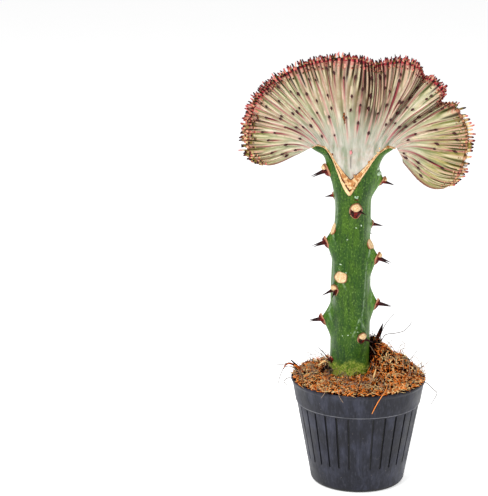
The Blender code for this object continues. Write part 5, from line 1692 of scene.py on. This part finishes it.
for side in (-1, 1):
    face_depth = depth[:, None] + (low_depth - depth)[:, None] * share[None]
    flat = np.stack([line[..., 0], side * face_depth, line[..., 1]], axis=-1)
    lumps = 0.8 * uneven(flat, 4.2, 61) + 0.15 * uneven(flat, 1.4, 62)
    lumps = lumps * ramp(GROOVE_AT + 0.1, GROOVE_AT - 0.1, share)
    wide = np.linalg.norm(low - high, axis=-1)[:, None]
    lift = (proud[None] + lumps * np.sin(math.pi * share)[None]) * ramp(0.5, 4.0, wide)
    flat[..., 1] += side * np.maximum(lift, -0.4)
    faces_of_callus.append(flat if side < 0 else flat[:, ::-1])
callus_points = np.concatenate(faces_of_callus, axis=1)
callus_faces = [face[::-1] for face in capped_grid(CALLUS_STATIONS, 2 * CALLUS_FACE)]
share_mark = np.concatenate([share, share[::-1]])
callus_marks = {"share": np.tile(share_mark, CALLUS_STATIONS),
                "arm": np.repeat(middle[:, 0] - STEM_X, 2 * CALLUS_FACE)}
cork = Finish("callus_cork", 0.75)
cork_share = cork.plus("share", cork.span(cork.noise(3.0, 3.0), 0.3, 0.7, -0.06, 0.06))
lump_tone = cork.between(cork.noise(3.4, 2.0), 0.4, 0.6, screen(186, 124, 68), screen(240, 200, 148))
lump_tone = cork.mix(cork.span(cork.noise(2.0, 3.0), 0.58, 0.7, 0.0, 0.5), lump_tone, screen(130, 70, 32))
ridge_tone = cork.between(cork.noise(1.4, 3.0), 0.4, 0.65, screen(248, 214, 164), screen(226, 176, 122))
cork.colour(cork.between(cork_share, GROOVE_AT + 0.05, GROOVE_AT + 0.14, lump_tone, ridge_tone))
furrow = cork.times(cork.span(cork_share, GROOVE_AT - 0.12, GROOVE_AT - 0.02),
                   cork.span(cork_share, GROOVE_AT + 0.12, GROOVE_AT + 0.03))
left_side = cork.span("arm", 3.5, -2.0, 0.08, 1.0)
cork.coat(cork.times(furrow, left_side), screen(84, 38, 16))
cork.coat_where("share", 0.06, 0.0, screen(110, 60, 34))
cork.coat_where("share", 0.96, 1.0, screen(120, 70, 40), 0.6)
cork.relief(cork.noise(2.2, 3.0), 0.45)
callus_shape = (callus_points.reshape(-1, 3), callus_faces, callus_marks)
print("callus grid", callus_points.shape)

# %% Lumps of cork that stand out of the callus
CORK_LUMPS = ((13.6, 266.2, 2.1, 1.5), (11.6, 263.8, 1.5, 1.1), (16.6, 266.8, 1.6, 1),
              (4.6, 256.6, 1.2, 0.9), (19.6, 267.2, 1.3, 1), (-8.6, 237.6, 3.4, 2.4),
              (-5.4, 242, 2.2, 2.6), (-12.2, 242.6, 1.7, 2.8), (-2.6, 246, 1.5, 1.8),
              (-6.2, 246.2, 0.8, 1.2))  # x, z, half width, half height
lumps = []
for index, (x, z, half_width, half_height) in enumerate(CORK_LUMPS):
    nearest = np.hypot(middle[:, 0] - x, middle[:, 1] - z).argmin()
    place = np.array([x, -depth[nearest] - 0.3, z])
    frame_here = (place, np.array([1.0, 0, 0]), np.array([0, 0, 1.0]), np.array([0, -1.0, 0]))
    lump = dome(frame_here, half_width, half_height, 0.9 + 0.25 * half_width, 210 + index, 2.0, ragged=0.35)
    lump[2].update(share=np.where(lump[2]["rim"] > 0.8, 0.0, 0.4), arm=np.full(len(lump[0]), 9.0))
    lumps.append(lump)
add_piece("cork_lumps", joined(lumps), cork.material, "graft_callus")
add_piece("callus_cork", callus_shape, cork.material, "graft_callus")

# %% [markdown]
# ## Floor and light
#
# The plant was photographed on white in even, soft light, so shadows are faint and both edges
# of the stem catch a pale rim. A white world gives that rim, a wide lamp above and in front
# gives the form, a weaker one opens the shadows on the right, and a third, from above and a
# little behind, lifts the margin and the coir off the ground.

# %% Pale floor
FLOOR_HALF = 12.0
FLOOR_GLOW = 0.6  # a lit sweep, so that it stays white far behind the plant
floor_mesh = bpy.data.meshes.new("floor")
corners = [(-FLOOR_HALF, -FLOOR_HALF, 0.0), (FLOOR_HALF, -FLOOR_HALF, 0.0),
           (FLOOR_HALF, FLOOR_HALF, 0.0), (-FLOOR_HALF, FLOOR_HALF, 0.0)]
floor_mesh.from_pydata(corners, [], [(0, 1, 2, 3)])
floor = bpy.data.objects.new("floor", floor_mesh)
paper = Finish("paper", 0.9)
paper.colour((0.90, 0.90, 0.90))
paper.coat(paper.noise(60.0, 2.0), (0.92, 0.92, 0.92))
paper.feed(paper.shader.inputs["Emission Color"], (1.0, 1.0, 1.0))
paper.shader.inputs["Emission Strength"].default_value = FLOOR_GLOW
floor_mesh.materials.append(paper.material)
into_scene(floor)

# %% Soft studio light
# name, place and size in metres, watts
LAMPS = [("key", (-0.75, -1.25, 1.3), 0.6, 21.0), ("fill", (1.2, -1.0, 0.8), 0.9, 3.5),
         ("top", (0.1, 0.4, 1.6), 0.8, 8.0)]
TARGET = (0.0, 0.0, 0.2)
WORLD_LIGHT = 0.38
for name, place, size, power in LAMPS:
    lamp = bpy.data.objects.new(name, bpy.data.lights.new(name, "AREA"))
    lamp.data.size = size
    lamp.data.energy = power
    lamp.location = place
    aim = np.array(TARGET) - np.array(place)
    flat_length = math.hypot(aim[0], aim[1])
    lamp.rotation_euler = (math.atan2(flat_length, -aim[2]), 0.0, math.atan2(-aim[0], aim[1]))
    into_scene(lamp)
world = bpy.data.worlds.new("studio")
world.use_nodes = True
world.node_tree.nodes["Background"].inputs["Color"].default_value = (1.0, 1.0, 1.0, 1.0)
world.node_tree.nodes["Background"].inputs["Strength"].default_value = WORLD_LIGHT
bpy.context.scene.world = world
bpy.context.scene.view_settings.view_transform = "Standard"
